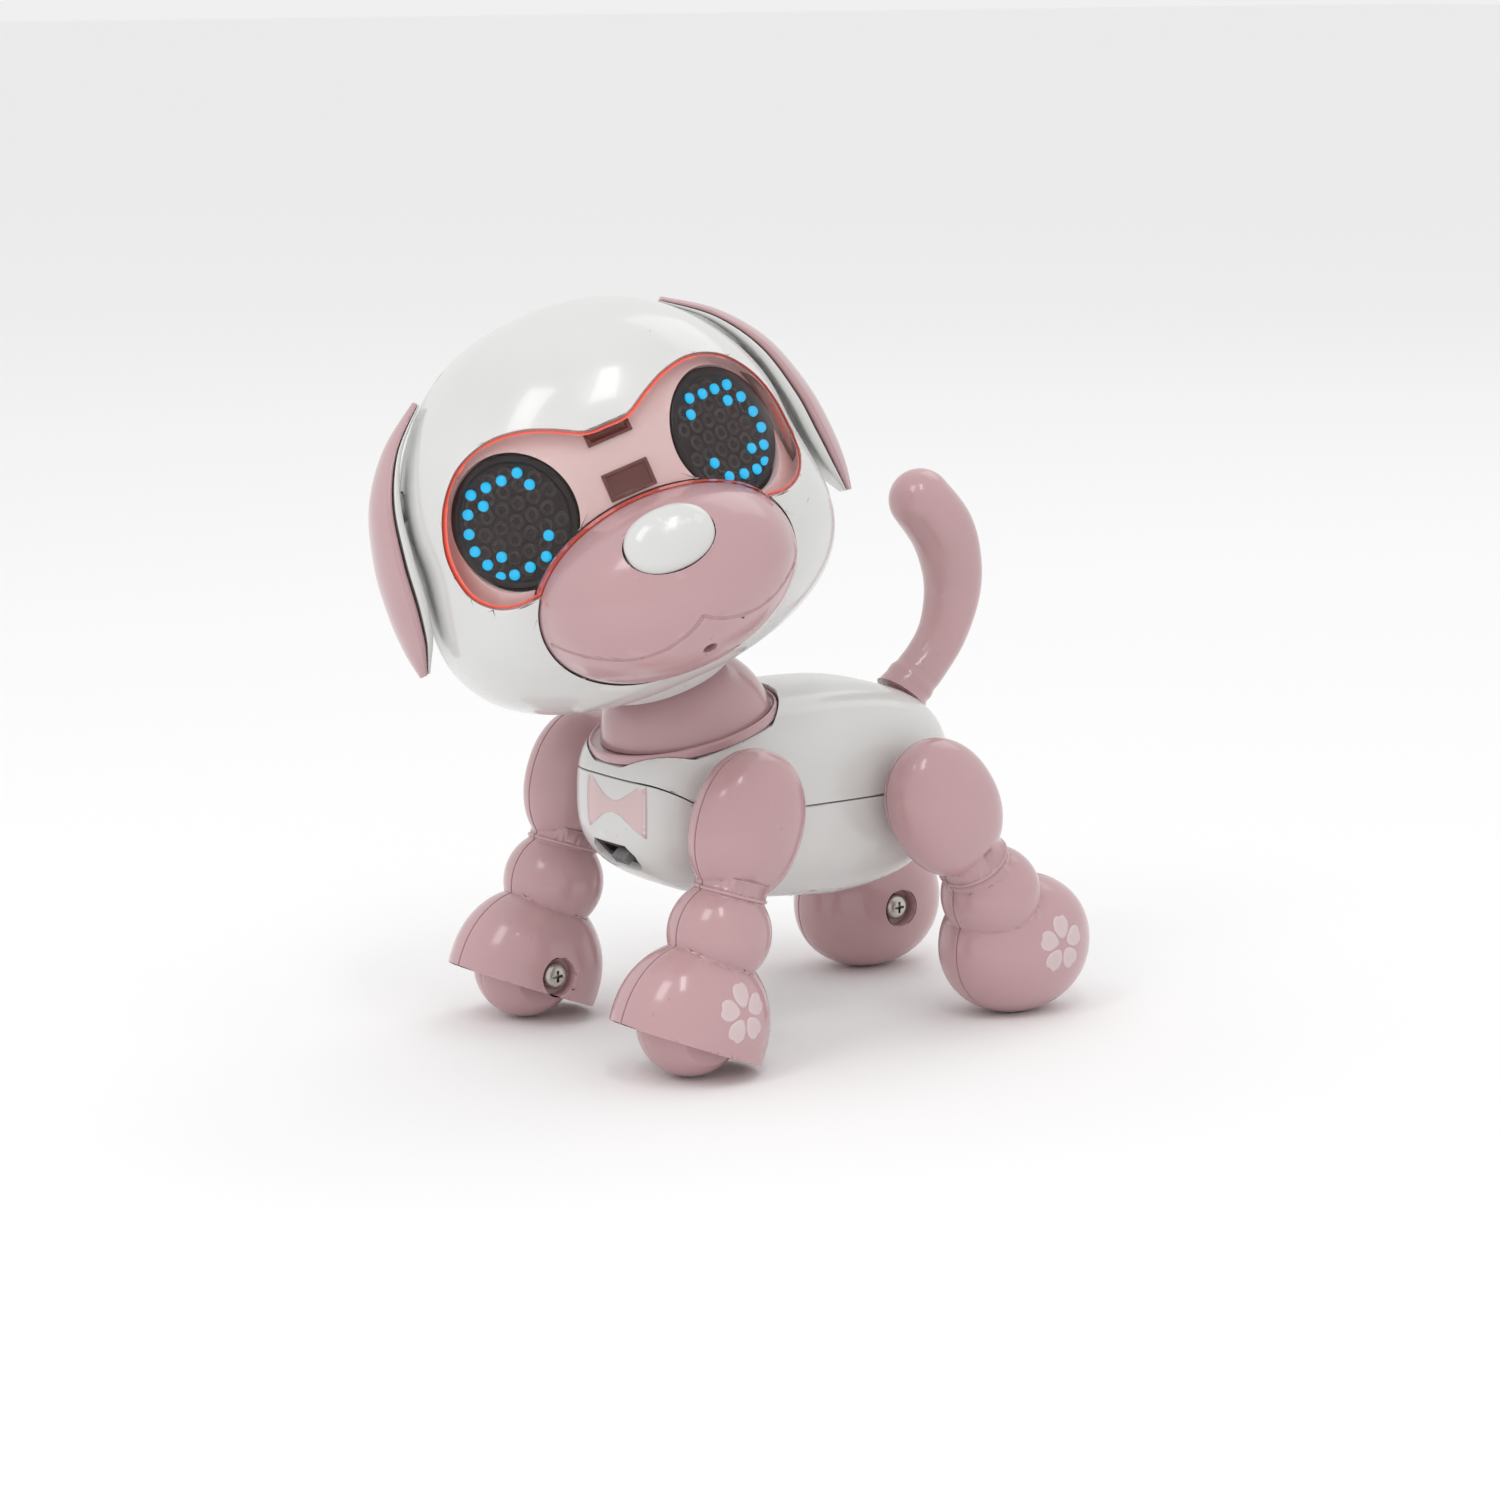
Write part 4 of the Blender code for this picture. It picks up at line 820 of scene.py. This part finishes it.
def head_bend(point):
    """Widens the cheeks, narrows the crown and lifts the underside towards the back."""
    made = point.copy()
    made.x *= cheek(point.z)
    if made.z < 0 and made.y > 0:
        made.z *= 1.0 - 0.008 * made.y
    made.z += HEAD_RISE
    return made


def head_blob(inset=0.0, around=160, along=80):
    """The head's outer surface, or one a distance inside it."""
    half = [s - inset for s in HEAD_SIZE]
    return solid(blob(half, HEAD_POWER, (0, 0, 0), around, along, bend=head_bend,
                      pair=HEAD_FRONT_POWER))


def muzzle_blob(inset=0.0, around=128, along=64):
    """The muzzle's outer surface, or one a distance inside it."""
    half = [s - inset for s in MUZZLE_SIZE]
    return solid(blob(half, MUZZLE_POWER, MUZZLE_AT, around, along, pair=MUZZLE_FRONT_POWER))


def face_y(x, z, inset):
    """Where the head's front surface, or one a distance inside it, lies at (x, z)."""
    hx, hy, hz = [s - inset for s in HEAD_SIZE]
    low = z - HEAD_RISE
    flat = abs(x / cheek(low) / hx) ** HEAD_FRONT_POWER + abs(low / hz) ** HEAD_FRONT_POWER
    deep = 1.0 - flat ** (HEAD_POWER / HEAD_FRONT_POWER)
    return -hy * max(0.0, deep) ** (1.0 / HEAD_POWER)


def muzzle_y(x, z):
    """Where the muzzle's surface lies at (x, z)."""
    flat = (abs(x / MUZZLE_SIZE[0]) ** MUZZLE_FRONT_POWER
            + abs((z - MUZZLE_AT.z) / MUZZLE_SIZE[2]) ** MUZZLE_FRONT_POWER)
    deep = 1.0 - flat ** (MUZZLE_POWER / MUZZLE_FRONT_POWER)
    return MUZZLE_AT.y - MUZZLE_SIZE[1] * max(0.0, deep) ** (1.0 / MUZZLE_POWER)


def eye_place(side):
    """Middle and way out of an eye disc's face."""
    towards = Vector((side * EYE_TOWARDS.x, EYE_TOWARDS.y, EYE_TOWARDS.z)).normalized()
    skin = oval(HEAD_SIZE, HEAD_POWER, (0, 0, HEAD_RISE), towards, HEAD_FRONT_POWER)
    slope = [abs(skin[k] / HEAD_SIZE[k]) ** (HEAD_POWER - 1) / HEAD_SIZE[k] for k in range(3)]
    out = Vector((side * slope[0], -slope[1], slope[2])).normalized()
    return skin - out * EYE_DEPTH, out


def visor_outline():
    """The whole goggle outline, anticlockwise seen from the front."""
    half = VISOR_OUTLINE + [(-x, z) for x, z in reversed(VISOR_OUTLINE) if x > 0]
    return smooth_line(half, 7, True)


def face_sheet(outline, top, bottom, roll):
    """A leaf between two depths under the face, inside an outline, with a rolled rim."""
    half = (bottom - top) / 2
    levels = [(share, roll, top) for share in (0.15, 0.3, 0.45, 0.6, 0.72, 0.82, 0.9, 0.96)]
    for k in range(9):
        turn = pi * k / 8
        levels.append((1.0, roll * (1 - sin(turn)), top + half * (1 - cos(turn))))
    levels += [(share, roll, bottom) for share in (0.96, 0.9, 0.82, 0.72, 0.6, 0.45, 0.3, 0.15)]
    shape = bmesh.new()
    centre = Vector(VISOR_CENTRE)

    def vertex(spot, depth):
        """A corner at (x, z), a depth under the face."""
        return shape.verts.new((spot.x, face_y(spot.x, spot.y, depth), spot.y))

    rings = []
    for share, shrink, depth in levels:
        rim = grown(outline, -shrink)
        rings.append([vertex(centre + (Vector(p) - centre) * share, depth) for p in rim])
    count = len(outline)
    bridge(shape, rings)
    for ring, depth in ((rings[0], top), (rings[-1], bottom)):
        middle = vertex(centre, depth)
        for k in range(count):
            shape.faces.new((ring[k], ring[(k + 1) % count], middle))
    return solid(shape)


def build_head():
    """Front and rear shell, screws, goggles, muzzle and the ring under the chin."""
    skin, inner = head_blob(), head_blob(WALL, 56, 28)
    outline = visor_outline()
    neck_way = (-HEAD_LEVEL, 0, 0)
    neck_foot = Vector((0, -sin(HEAD_LEVEL), -cos(HEAD_LEVEL))) * NECK_LENGTH
    neck_hole = solid(rod(10.4, 0, 14.5, 96), neck_foot, neck_way)
    goggles = solid(prism(grown(outline, 0.2), -40, -9, "Y"))
    muzzle_room = muzzle_blob(-0.2)
    back = (-pi / 2, 0, 0)
    ways = [(side * cos(EAR_AXIS_UP), 0, sin(EAR_AXIS_UP)) for side in (1, -1)]
    pegs = [solid(rod(2.1, 15, 40), turn=facing(way)) for way in ways]

    front = copied(skin)
    behind = box((-40, HEAD_SEAM_Y - SEAM / 2, -40), (40, 40, 40))
    combine_each(front, "DIFFERENCE", copied(inner), behind, goggles, copied(muzzle_room),
                 copied(neck_hole), *[copied(p) for p in pegs])
    finish_shell(front, skin, HEAD_SOFT_EDGE)
    place(front, "face_moulding", HEAD, WHITE, "head", "head_front_shell", slot="white_gloss")

    rear = copied(skin)
    combine(rear, "DIFFERENCE", inner)
    posts, cuts = [], []
    for side, name in ((1, "left"), (-1, "right")):
        seat = (side * HEAD_SCREW[0], 0, HEAD_SCREW[1])
        post = solid(rod(2.6, HEAD_SEAM_Y, 20, 24), seat, back)
        combine(post, "INTERSECT", head_blob(0.3, 56, 28))
        posts.append(post)
        step = [(0, 0), (1.15, 0), (1.15, 8.5), (2.1, 8.5), (2.1, 30), (0, 30)]
        cuts.append(solid(turned(step, 32), seat, back))
        spot = Matrix.Translation((seat[0], 8.5 + GAP + SCREW_HEAD, seat[2]))
        matrix = HEAD @ spot @ Matrix.Rotation(-pi / 2, 4, "X")
        place_screw(screw(13.5), f"back_screw_{name}", matrix, "head", f"head_screw_{name}")
    combine(rear, "UNION", *posts)
    ahead = box((-40, -40, -40), (40, HEAD_SEAM_Y + SEAM / 2, 40))
    combine_each(rear, "DIFFERENCE", ahead, neck_hole, *pegs, *cuts)
    finish_shell(rear, skin, HEAD_SOFT_EDGE)
    place(rear, "back_of_head_moulding", HEAD, WHITE, "head", "head_rear_shell", slot="white_gloss")

    build_goggles(outline, muzzle_room)
    build_muzzle()

    clear_of = DOME_RADIUS + 0.35
    heights = (8.3, 8.1, 7.9, 7.7, 7.5, 7.3, 7.05)
    under = [(sqrt(clear_of ** 2 - (s - DOME_CENTRE) ** 2), s) for s in heights]
    ring = [(4.9, 10.2), (4.9, 8.5)] + under + [(8.8, 7.05), (9.9, 8.6), (9.9, 10.2)]
    collar = solid(turned(rounded(ring, 0.25, True), 128, closed=True), neck_foot, neck_way)
    place(smoothed(collar), "chin_ring", HEAD, WHITE, "head", "chin_collar", slot="white_gloss")


def build_goggles(outline, muzzle_room):
    """Clear visor with a painted red glow on its edges, the plate behind it with a painted glow, and
    the eye discs with their lamps.
    """
    visor = face_sheet(outline, 0.1, 1.3, 0.35)
    source = copied(visor)
    source.data.shade_smooth()
    combine(visor, "DIFFERENCE", copied(muzzle_room))
    true_normals(visor, [source])
    made = place(visor, "visor_moulding", HEAD, VISOR, "head", "visor", slot="clear_pink",
                 looks=(VISOR_EDGE_GLOW,))
    turn = (Matrix.Scale(MM, 4) @ HEAD).inverted()
    # Rim and wall faces get the painted red edge glow; the rest of the visor stays clear.
    for face in made.data.polygons:
        spot = turn @ face.center
        way = (turn.to_3x3() @ face.normal).normalized()
        slope = Vector([spot[k] / HEAD_SIZE[k] ** 2 for k in range(3)]).normalized()
        near_edge = min((Vector(p) - spot.xz).length for p in outline) < 0.42
        face.material_index = 1 if near_edge or abs(way.dot(slope)) < 0.8 else 0

    plate = solid(prism(grown(outline, 2.6), -40, -6, "Y"))
    combine(plate, "INTERSECT", head_blob(2.2, 96, 48))
    combine(plate, "DIFFERENCE", head_blob(3.3, 96, 48))
    combine(plate, "DIFFERENCE", muzzle_room)
    for side, name in ((1, "left"), (-1, "right")):
        middle, out = eye_place(side)
        combine(plate, "DIFFERENCE", solid(rod(EYE_RADIUS + 0.25, -6, 8, 96), middle, facing(out)))
        rim = EYE_RADIUS
        disc = [(0, -0.55), (rim - 1.3, -0.55), (rim - 1.0, -0.35), (rim - 0.85, -0.05),
                (rim - 0.5, 0.0), (rim - 0.1, 0.0), (rim, -0.15), (rim, -EYE_THICK), (0, -EYE_THICK)]
        eye = HEAD @ Matrix.LocRotScale(middle, facing(out), None)
        grille = solid(turned(rounded(disc, 0.12), 96))
        outwards = Vector((side, 0, 0))
        outwards = (outwards - out * outwards.dot(out)).normalized()
        axis_u = facing(out).to_matrix().inverted() @ outwards
        axis_v = Vector((0, 0, 1)).cross(axis_u) * side
        bumps = solid(dimples(rim - 1.5, axis_u, axis_v))
        place(smoothed(grille), f"eye_disc_{name}", eye, BLACK, "head", f"eye_grille_{name}",
              slot="black_plastic")
        place(smoothed(bumps, 60), f"eye_dimples_{name}", eye, CUPS, "head", slot="black_plastic")
        lamps = bmesh.new()
        for u, v in LAMPS:
            spot = axis_u * u + axis_v * v
            cap = turned([(LAMP_RADIUS, -0.75), (LAMP_RADIUS, -0.4), (0.62, -0.24), (0.42, -0.12),
                          (0, -0.08)], 20)
            bmesh.ops.holes_fill(cap, edges=[e for e in cap.edges if e.is_boundary])
            bmesh.ops.translate(cap, vec=spot, verts=cap.verts)
            part = bpy.data.meshes.new("cap")
            cap.to_mesh(part)
            cap.free()
            lamps.from_mesh(part)
            bpy.data.meshes.remove(part)
        place(smoothed(solid(lamps), 60), f"eye_lamps_{name}", eye, LAMP, "head")
    soften(plate, 0.12)
    place(smoothed(plate), "eye_plate", HEAD, PLATE, "head", "face_plate", slot="pale_pink")

    # Two dark windows in the middle of the plate: a sensor at the notch and one above the muzzle.
    for name, width, low, high in (("upper", 2.9, 7.5, 9.2), ("lower", 3.0, 0.4, 3.9)):
        shapes = (block((-width, 0, low), (width, 1.6, high)),
                  block((-width + 0.5, -0.2, low + 0.5), (width - 0.5, 0.25, high - 0.45)))
        for shape in shapes:
            for vert in shape.verts:
                vert.co.y += face_y(vert.co.x, vert.co.z, 1.75)
        window, inside = [solid(shape) for shape in shapes]
        combine(window, "DIFFERENCE", inside)
        soften(window, 0.1)
        place(smoothed(window), f"{name}_sensor_window", HEAD, WINDOW, "head")


def dimples(radius, axis_u, axis_v):
    """Rows of small round cups on an eye disc, each with a raised lip."""
    shape = bmesh.new()
    pitch = 2.25
    steps = 20
    turns = [2 * pi * k / steps for k in range(steps)]
    for row in range(-4, 5):
        for column in range(-4, 5):
            u = (column + 0.5 * (row % 2)) * pitch
            v = row * pitch * sqrt(3) / 2
            if u * u + v * v > (radius - 0.7) ** 2:
                continue
            middle = axis_u * u + axis_v * v
            rings = []
            for r, z in ((0.98, -0.57), (0.9, -0.47), (0.78, -0.45), (0.66, -0.5), (0.45, -0.56)):
                spots = [middle + Vector((r * cos(a), r * sin(a), z)) for a in turns]
                rings.append([shape.verts.new(spot) for spot in spots])
            centre = shape.verts.new(middle + Vector((0, 0, -0.58)))
            bridge(shape, rings)
            for k in range(steps):
                shape.faces.new((rings[-1][k], rings[-1][(k + 1) % steps], centre))
            shape.faces.new(rings[0])
    return shape


def build_muzzle():
    """Muzzle with its mouth line, the nose button and the microphone hole."""
    skin = muzzle_blob()
    muzzle = copied(skin)
    hole = rod(1.0, -8, 8, 72)
    bmesh.ops.scale(hole, vec=(NOSE_SIZE[0] + 0.2, NOSE_SIZE[2] + 0.2, 1), verts=hole.verts)
    half = smooth_line(MOUTH, 8)
    line = [(-x, z) for x, z in reversed(half) if x > 0] + half
    path = [(x, muzzle_y(x, z), z) for x, z in line]
    middle = len(path) // 2
    halves = (path[:middle + 1], path[middle:])
    grooves = [solid(sweep(part, [0.24] * len(part), 10)) for part in halves]
    nose_hole = solid(hole, NOSE_AT, (pi / 2 + NOSE_TILT, 0, 0))
    mic_hole = solid(rod(0.9, -3, 6, 24), MIC_AT, (pi / 2 + MIC_TILT, 0, 0))
    combine_each(muzzle, "DIFFERENCE", muzzle_blob(WALL, 64, 32), head_blob(2.7, 64, 32), nose_hole,
                 mic_hole, *grooves)
    soften(muzzle, 0.12)
    true_normals(muzzle, [skin])
    place(muzzle, "muzzle_moulding", HEAD, PINK, "head", "muzzle", slot="pink_gloss")

    nose = solid(blob(NOSE_SIZE, 2.2, around=96, along=48), NOSE_AT, (NOSE_TILT, 0, 0))
    flange = solid(blob((6.2, 0.6, 4.7), 6.0, (0, 5.3, 0), 32, 16), NOSE_AT, (NOSE_TILT, 0, 0))
    stem = solid(rod(1.6, -9.0, 0.5, 24), NOSE_AT, (pi / 2 + NOSE_TILT, 0, 0))
    combine(nose, "UNION", flange, stem)
    place(smoothed(nose), "nose_cap", HEAD, WHITE, "nose_button", "nose_button", slot="white_gloss")


# ---------------------------------------------------------------- ears, legs, tail

def ear_leaf(inner, outer, rim):
    """Curved leaf of the left ear; inner, outer and rim are depths as shares of its thickness."""
    stations = smooth_line([(*spot, width, thick) for spot, width, thick
                            in zip(EAR_SPINE, EAR_HALF_WIDTH, EAR_THICK)], 9)
    shape = bmesh.new()
    rings, last = [], len(stations) - 1
    section = []
    for k in range(25):
        share = -cos(pi * k / 24)
        section.append((share, outer + (rim - outer) * abs(share) ** 2.2))
    turned_in = [(0.995, rim + (inner - rim) * 0.4), (0.975, rim + (inner - rim) * 0.8), (0.94, inner),
                 (0.5, inner)]
    section += turned_in + [(0, inner)] + [(-share, depth) for share, depth in reversed(turned_in)]
    for i, (x, z, width, thick) in enumerate(stations):
        before, after = stations[max(0, i - 1)], stations[min(last, i + 1)]
        along = Vector((after[0] - before[0], after[1] - before[1])).normalized()
        inwards = Vector((along.y, -along.x))
        ring = [(x + inwards.x * d * thick, width * s, z + inwards.y * d * thick) for s, d in section]
        rings.append([shape.verts.new(spot) for spot in ring])
    bridge(shape, rings)
    for ring in (rings[0], rings[-1]):
        shape.faces.new(ring)
    return solid(shape)


def build_ears():
    """Pink covers and white linings, each lining with its peg."""
    cover = ear_leaf(0.66, 0.0, 0.5)
    soften(cover, 0.12)
    liner = ear_leaf(1.0, 0.72, 0.74)
    way = (cos(EAR_AXIS_UP), 0, sin(EAR_AXIS_UP))
    combine(liner, "UNION", solid(rod(1.8, 22.5, 26.0, 32), turn=facing(way)))
    soften(liner, 0.12)
    for mirror, name in SIDES:
        place(smoothed(cover), f"ear_shell_{name}", HEAD, PINK, f"ear_{name}", f"ear_cover_{name}",
              mirror=mirror, slot="pink_gloss")
        place(smoothed(liner), f"ear_lining_{name}", HEAD, WHITE, f"ear_{name}", f"ear_liner_{name}",
              mirror=mirror, slot="white_gloss")


def leg_skin(knee, foot, foot_size, foot_turn):
    """Thigh, knee, foot and the collar above the knee of a left leg as one body."""
    fine = {"around": 80, "along": 40, "across": True}
    tilt = (atan2(knee.y, -knee.z), 0, 0)
    thigh = solid(blob(THIGH_SIZE, 2.15, **fine), turn=tilt)
    ball = solid(blob([KNEE_RADIUS] * 3, **fine), knee)
    link = solid(rod(LEG_NECK_RADIUS, THIGH_SIZE[2] - 3.0, knee.length, 48), turn=facing(knee))
    paw = solid(blob(foot_size, 2.1, **fine), foot, foot_turn)
    height = (THIGH_SIZE[2] + knee.length - KNEE_RADIUS) / 2 + 0.25
    turns = [2 * pi * k / 12 for k in range(12)]
    ring = [(LEG_NECK_RADIUS + 0.25 * cos(a), height + 0.25 * sin(a)) for a in turns]
    collar = solid(turned(ring, 64, closed=True), turn=facing(knee))
    combine_each(thigh, "UNION", ball, link, paw, collar)
    return thigh


def build_legs():
    """The legs' halves, the screws through the paws and the rollers in the front ones."""
    inwards = (0, -pi / 2, 0)
    for hip, end in ((FRONT_HIP, "front"), (REAR_HIP, "rear")):
        front = end == "front"
        knee = FRONT_KNEE if front else REAR_KNEE
        foot = FRONT_FOOT if front else REAR_FOOT
        axle = FRONT_ROLLER if front else REAR_FOOT
        size = FRONT_FOOT_SIZE if front else REAR_FOOT_SIZE
        foot_turn = (atan2(foot.y - knee.y, knee.z - foot.z) if front else 0.0, 0, 0)
        if front:
            room = solid(blob([BALL_RADIUS + 0.4] * 3, around=64, along=32, across=True), axle)
            reach = BALL_HALF_WIDTH + 0.3
            combine(room, "INTERSECT", box((-reach, -20, -20), (reach, 20, 20), axle))
            ground = box((-20, -20, -20), (20, 20, -SOLE_BELOW_FOOT), foot, foot_turn)
        else:
            room = solid(blob([s - WALL for s in size], 2.1, around=24, along=12, across=True), foot)
            combine(room, "DIFFERENCE", solid(rod(3.1, -20, 20, 24), foot, inwards))
            ground = box((-20, -20, -20), (20, 20, 0), (foot.x, foot.y, -REAR_HIP.z))
        whole = leg_skin(knee, foot, size, foot_turn)
        hips = {side: BODY @ Matrix.Translation((-hip.x if mirror else hip.x, hip.y, hip.z))
                for mirror, side in SIDES}
        for half, sign in (("outer", 1), ("inner", -1)):
            shell = copied(whole)
            step = [(0, -size[0] + 1.6), (1.2, -size[0] + 1.6), (1.2, 20), (0, 20)]
            if half == "inner":
                hub = solid(rod(HUB_RADIUS, 2.0, 12.2 if front else 11.2), turn=inwards)
                combine(shell, "UNION", hub)
                step[2:] = [(1.2, size[0] - 2.0), (2.5, size[0] - 2.0), (2.5, 20), (0, 20)]
            edge, far = SEAM / 2 * sign, -40 * sign
            other = box((min(edge, far), -40, -40), (max(edge, far), 40, 40), (foot.x * 0.5, 0, 0))
            bore = solid(turned(step, 32), axle, inwards)
            combine_each(shell, "DIFFERENCE", bore, copied(room), copied(ground), other)
            soften(shell, SOFT_EDGE)
            true_normals(shell, [whole])
            for mirror, side in SIDES:
                made = place(shell, f"{end}_{side}_paw_{half}_half", hips[side], PINK,
                             f"leg_{end}_{side}", f"{end}_{side}_leg_{half}", mirror=mirror,
                             slot="pink_gloss")
                if half == "outer":
                    print_flower(made, end, side, hip + foot, mirror)
        for mirror, side in SIDES:
            seat = axle + Vector((0.6 - size[0], 0, 0))
            spot = Matrix.Translation(seat) @ Matrix.Rotation(-pi / 2, 4, "Y")
            if mirror:
                spot = MIRROR @ spot @ MIRROR
            place_screw(screw(2 * size[0] - 4.2, 1.7), f"{end}_{side}_axle_screw", hips[side] @ spot,
                        f"leg_{end}_{side}", f"{end}_{side}_leg_screw")
            if front:
                spot = Matrix.Translation(axle) @ Matrix.Rotation(pi / 2, 4, "Y")
                place(smoothed(rolled_ball()), f"{side}_roller_ball", hips[side] @ spot, PINK,
                      f"roller_{side}", f"front_{side}_roller", slot="pink_gloss")


def rolled_ball():
    """Flat-sided roller ball with a bore along Z and a fine moulding line round its middle."""
    edge = asin(BALL_HALF_WIDTH / BALL_RADIUS)
    profile = [(1.25, -BALL_HALF_WIDTH)]
    for step in range(41):
        turn = edge * (step - 20) / 20
        radius = BALL_RADIUS - 0.07 * max(0.0, 1.0 - abs(turn) / 0.03)
        profile.append((radius * cos(turn), radius * sin(turn)))
    profile.append((1.25, BALL_HALF_WIDTH))
    return solid(turned(rounded(profile, 0.15, True), 96, closed=True))


def print_flower(surface, end, side, foot, mirror):
    """White five-petalled flower on the outer side of a paw."""
    half = [(1.3, 0.8), (2.2, 1.3), (3.1, 1.25), (3.7, 0.7)]
    petal = [(0.75, 0.0)] + half + [(3.6, 0.0)] + [(x, -y) for x, y in reversed(half)]
    patches = []
    for k in range(5):
        turn = 2 * pi * k / 5 + pi / 2
        moved = [(x * cos(turn) - y * sin(turn), x * sin(turn) + y * cos(turn)) for x, y in petal]
        patches.append(smooth_line(moved, 3, True))
    sign = -1 if mirror else 1
    high = Vector((0, 2.8, 3.2)) if end == "front" else Vector((0, 1.8, 0.8))
    origin = BODY @ Vector((sign * 60, foot.y + high.y, foot.z + high.z)) * MM
    towards = Vector((-sign, 0, 0))
    printed(f"{end}_{side}_flower_print", surface, patches, origin, Vector((0, 1, 0)),
            Vector((0, 0, 1)), towards, PRINT_WHITE, f"leg_{end}_{side}")


def build_tail():
    """Curved tail with a round tip, a moulding collar at its root and its peg."""
    base = Vector((0, *TAIL_SPINE[0]))
    stations = smooth_line([(*spot, radius) for spot, radius in zip(TAIL_SPINE, TAIL_RADIUS)], 8)
    path = [Vector((0, y, z)) - base for y, z, _ in stations]
    radii = [radius for _, _, radius in stations]
    tip_way = (path[-1] - path[-2]).normalized()
    end = radii[-1]
    for k in range(1, 10):
        turn = pi / 2 * k / 10
        path.append(path[len(stations) - 1] + tip_way * end * sin(turn))
        radii.append(end * cos(turn))
    for i, spot in enumerate(path):
        collar = max(0.0, 1.0 - abs(spot.length - 2.2) / 0.5)
        groove = max(0.0, 1.0 - abs(spot.length - 3.3) / 0.4)
        radii[i] += 0.22 * collar - 0.12 * groove
    tail = sweep(path, radii, 64)
    bmesh.ops.rotate(tail, matrix=Matrix.Rotation(TAIL_LEAN, 3, "X"), verts=tail.verts)
    made = solid(tail)
    combine(made, "UNION", solid(rod(2.0, -5.4, 1.0, 32)))
    place(smoothed(made), "tail_moulding", TAIL, PINK, "tail", "tail", slot="pink_gloss")


# ---------------------------------------------------------------- stage

def floor_paint():
    """Matt pale paint, barely uneven."""
    look, nodes, links, shader, _ = new_look("floor_paint")
    shader.inputs["Roughness"].default_value = 0.9
    shader.inputs["Specular IOR Level"].default_value = 0.1
    coordinates = nodes["Texture Coordinate"].outputs["Generated"]
    grain = noise(nodes, links, coordinates, 3.0)
    links.new(ramp(nodes, links, grain, (0.945,) * 3, (0.955,) * 3), shader.inputs["Base Color"])
    return look


def build_stage():
    """Pale floor, white surroundings, soft boxes and the camera."""
    bpy.ops.mesh.primitive_plane_add(size=12.0, location=(0, 0, -0.0001))
    floor = bpy.context.object
    floor.name = "floor"
    floor.data.materials.append(floor_paint())

    world = bpy.data.worlds.new("room")
    world.use_nodes = True
    world.node_tree.nodes["Background"].inputs["Color"].default_value = (1.0, 1.0, 1.0, 1.0)
    world.node_tree.nodes["Background"].inputs["Strength"].default_value = 0.87
    bpy.context.scene.world = world

    boxes = (("key", 15, 48, 0.75, (0.20, 0.32), 0.8), ("front", 62, 58, 0.8, (0.10, 0.30), 0.6),
             ("back", 200, 50, 0.9, (0.5, 0.5), 0.6))
    for name, azimuth, height, away, size, power in boxes:
        lamp = bpy.data.lights.new(name, "AREA")
        lamp.shape = "RECTANGLE"
        lamp.size, lamp.size_y = size
        lamp.energy = power
        spot = linked(name, lamp)
        a, e = radians(azimuth), radians(height)
        way = Vector((sin(a) * cos(e), -cos(a) * cos(e), sin(e)))
        spot.location = Vector((0, 0, 0.045)) + way * away
        spot.rotation_euler = way.to_track_quat("Z", "Y").to_euler()

    azimuth, elevation, distance = radians(54.01), radians(9.71), 0.56485
    back = Vector((sin(azimuth) * cos(elevation), -cos(azimuth) * cos(elevation), sin(elevation)))
    right = Vector((cos(azimuth), sin(azimuth), 0))
    up = back.cross(right)
    camera = bpy.data.cameras.new("camera")
    holder = linked("camera", camera)
    matrix = Matrix((right, up, back)).transposed().to_4x4()
    matrix.translation = BODY @ Vector((0, 0, 45.0)) * MM + back * distance
    holder.matrix_world = matrix
    camera.sensor_width = 36.0
    camera.lens = 104.25
    camera.shift_x = -0.0196
    camera.shift_y = -0.049
    camera.clip_start = 0.01
    camera.clip_end = 50.0
    bpy.context.scene.camera = holder
    bpy.context.scene.view_settings.view_transform = "Standard"


for subpart in frame["record"]["subparts"]:
    node = frame["nodes"][subpart["node"]]
    node.data.materials.clear()
    node.data.materials.append(SLOTS[subpart["material_slot"]])

build_body()
build_head()
build_ears()
build_legs()
build_tail()
for left_over in [o for o in bpy.data.objects if o.name.startswith("workshop")]:
    bpy.data.objects.remove(left_over)
build_stage()
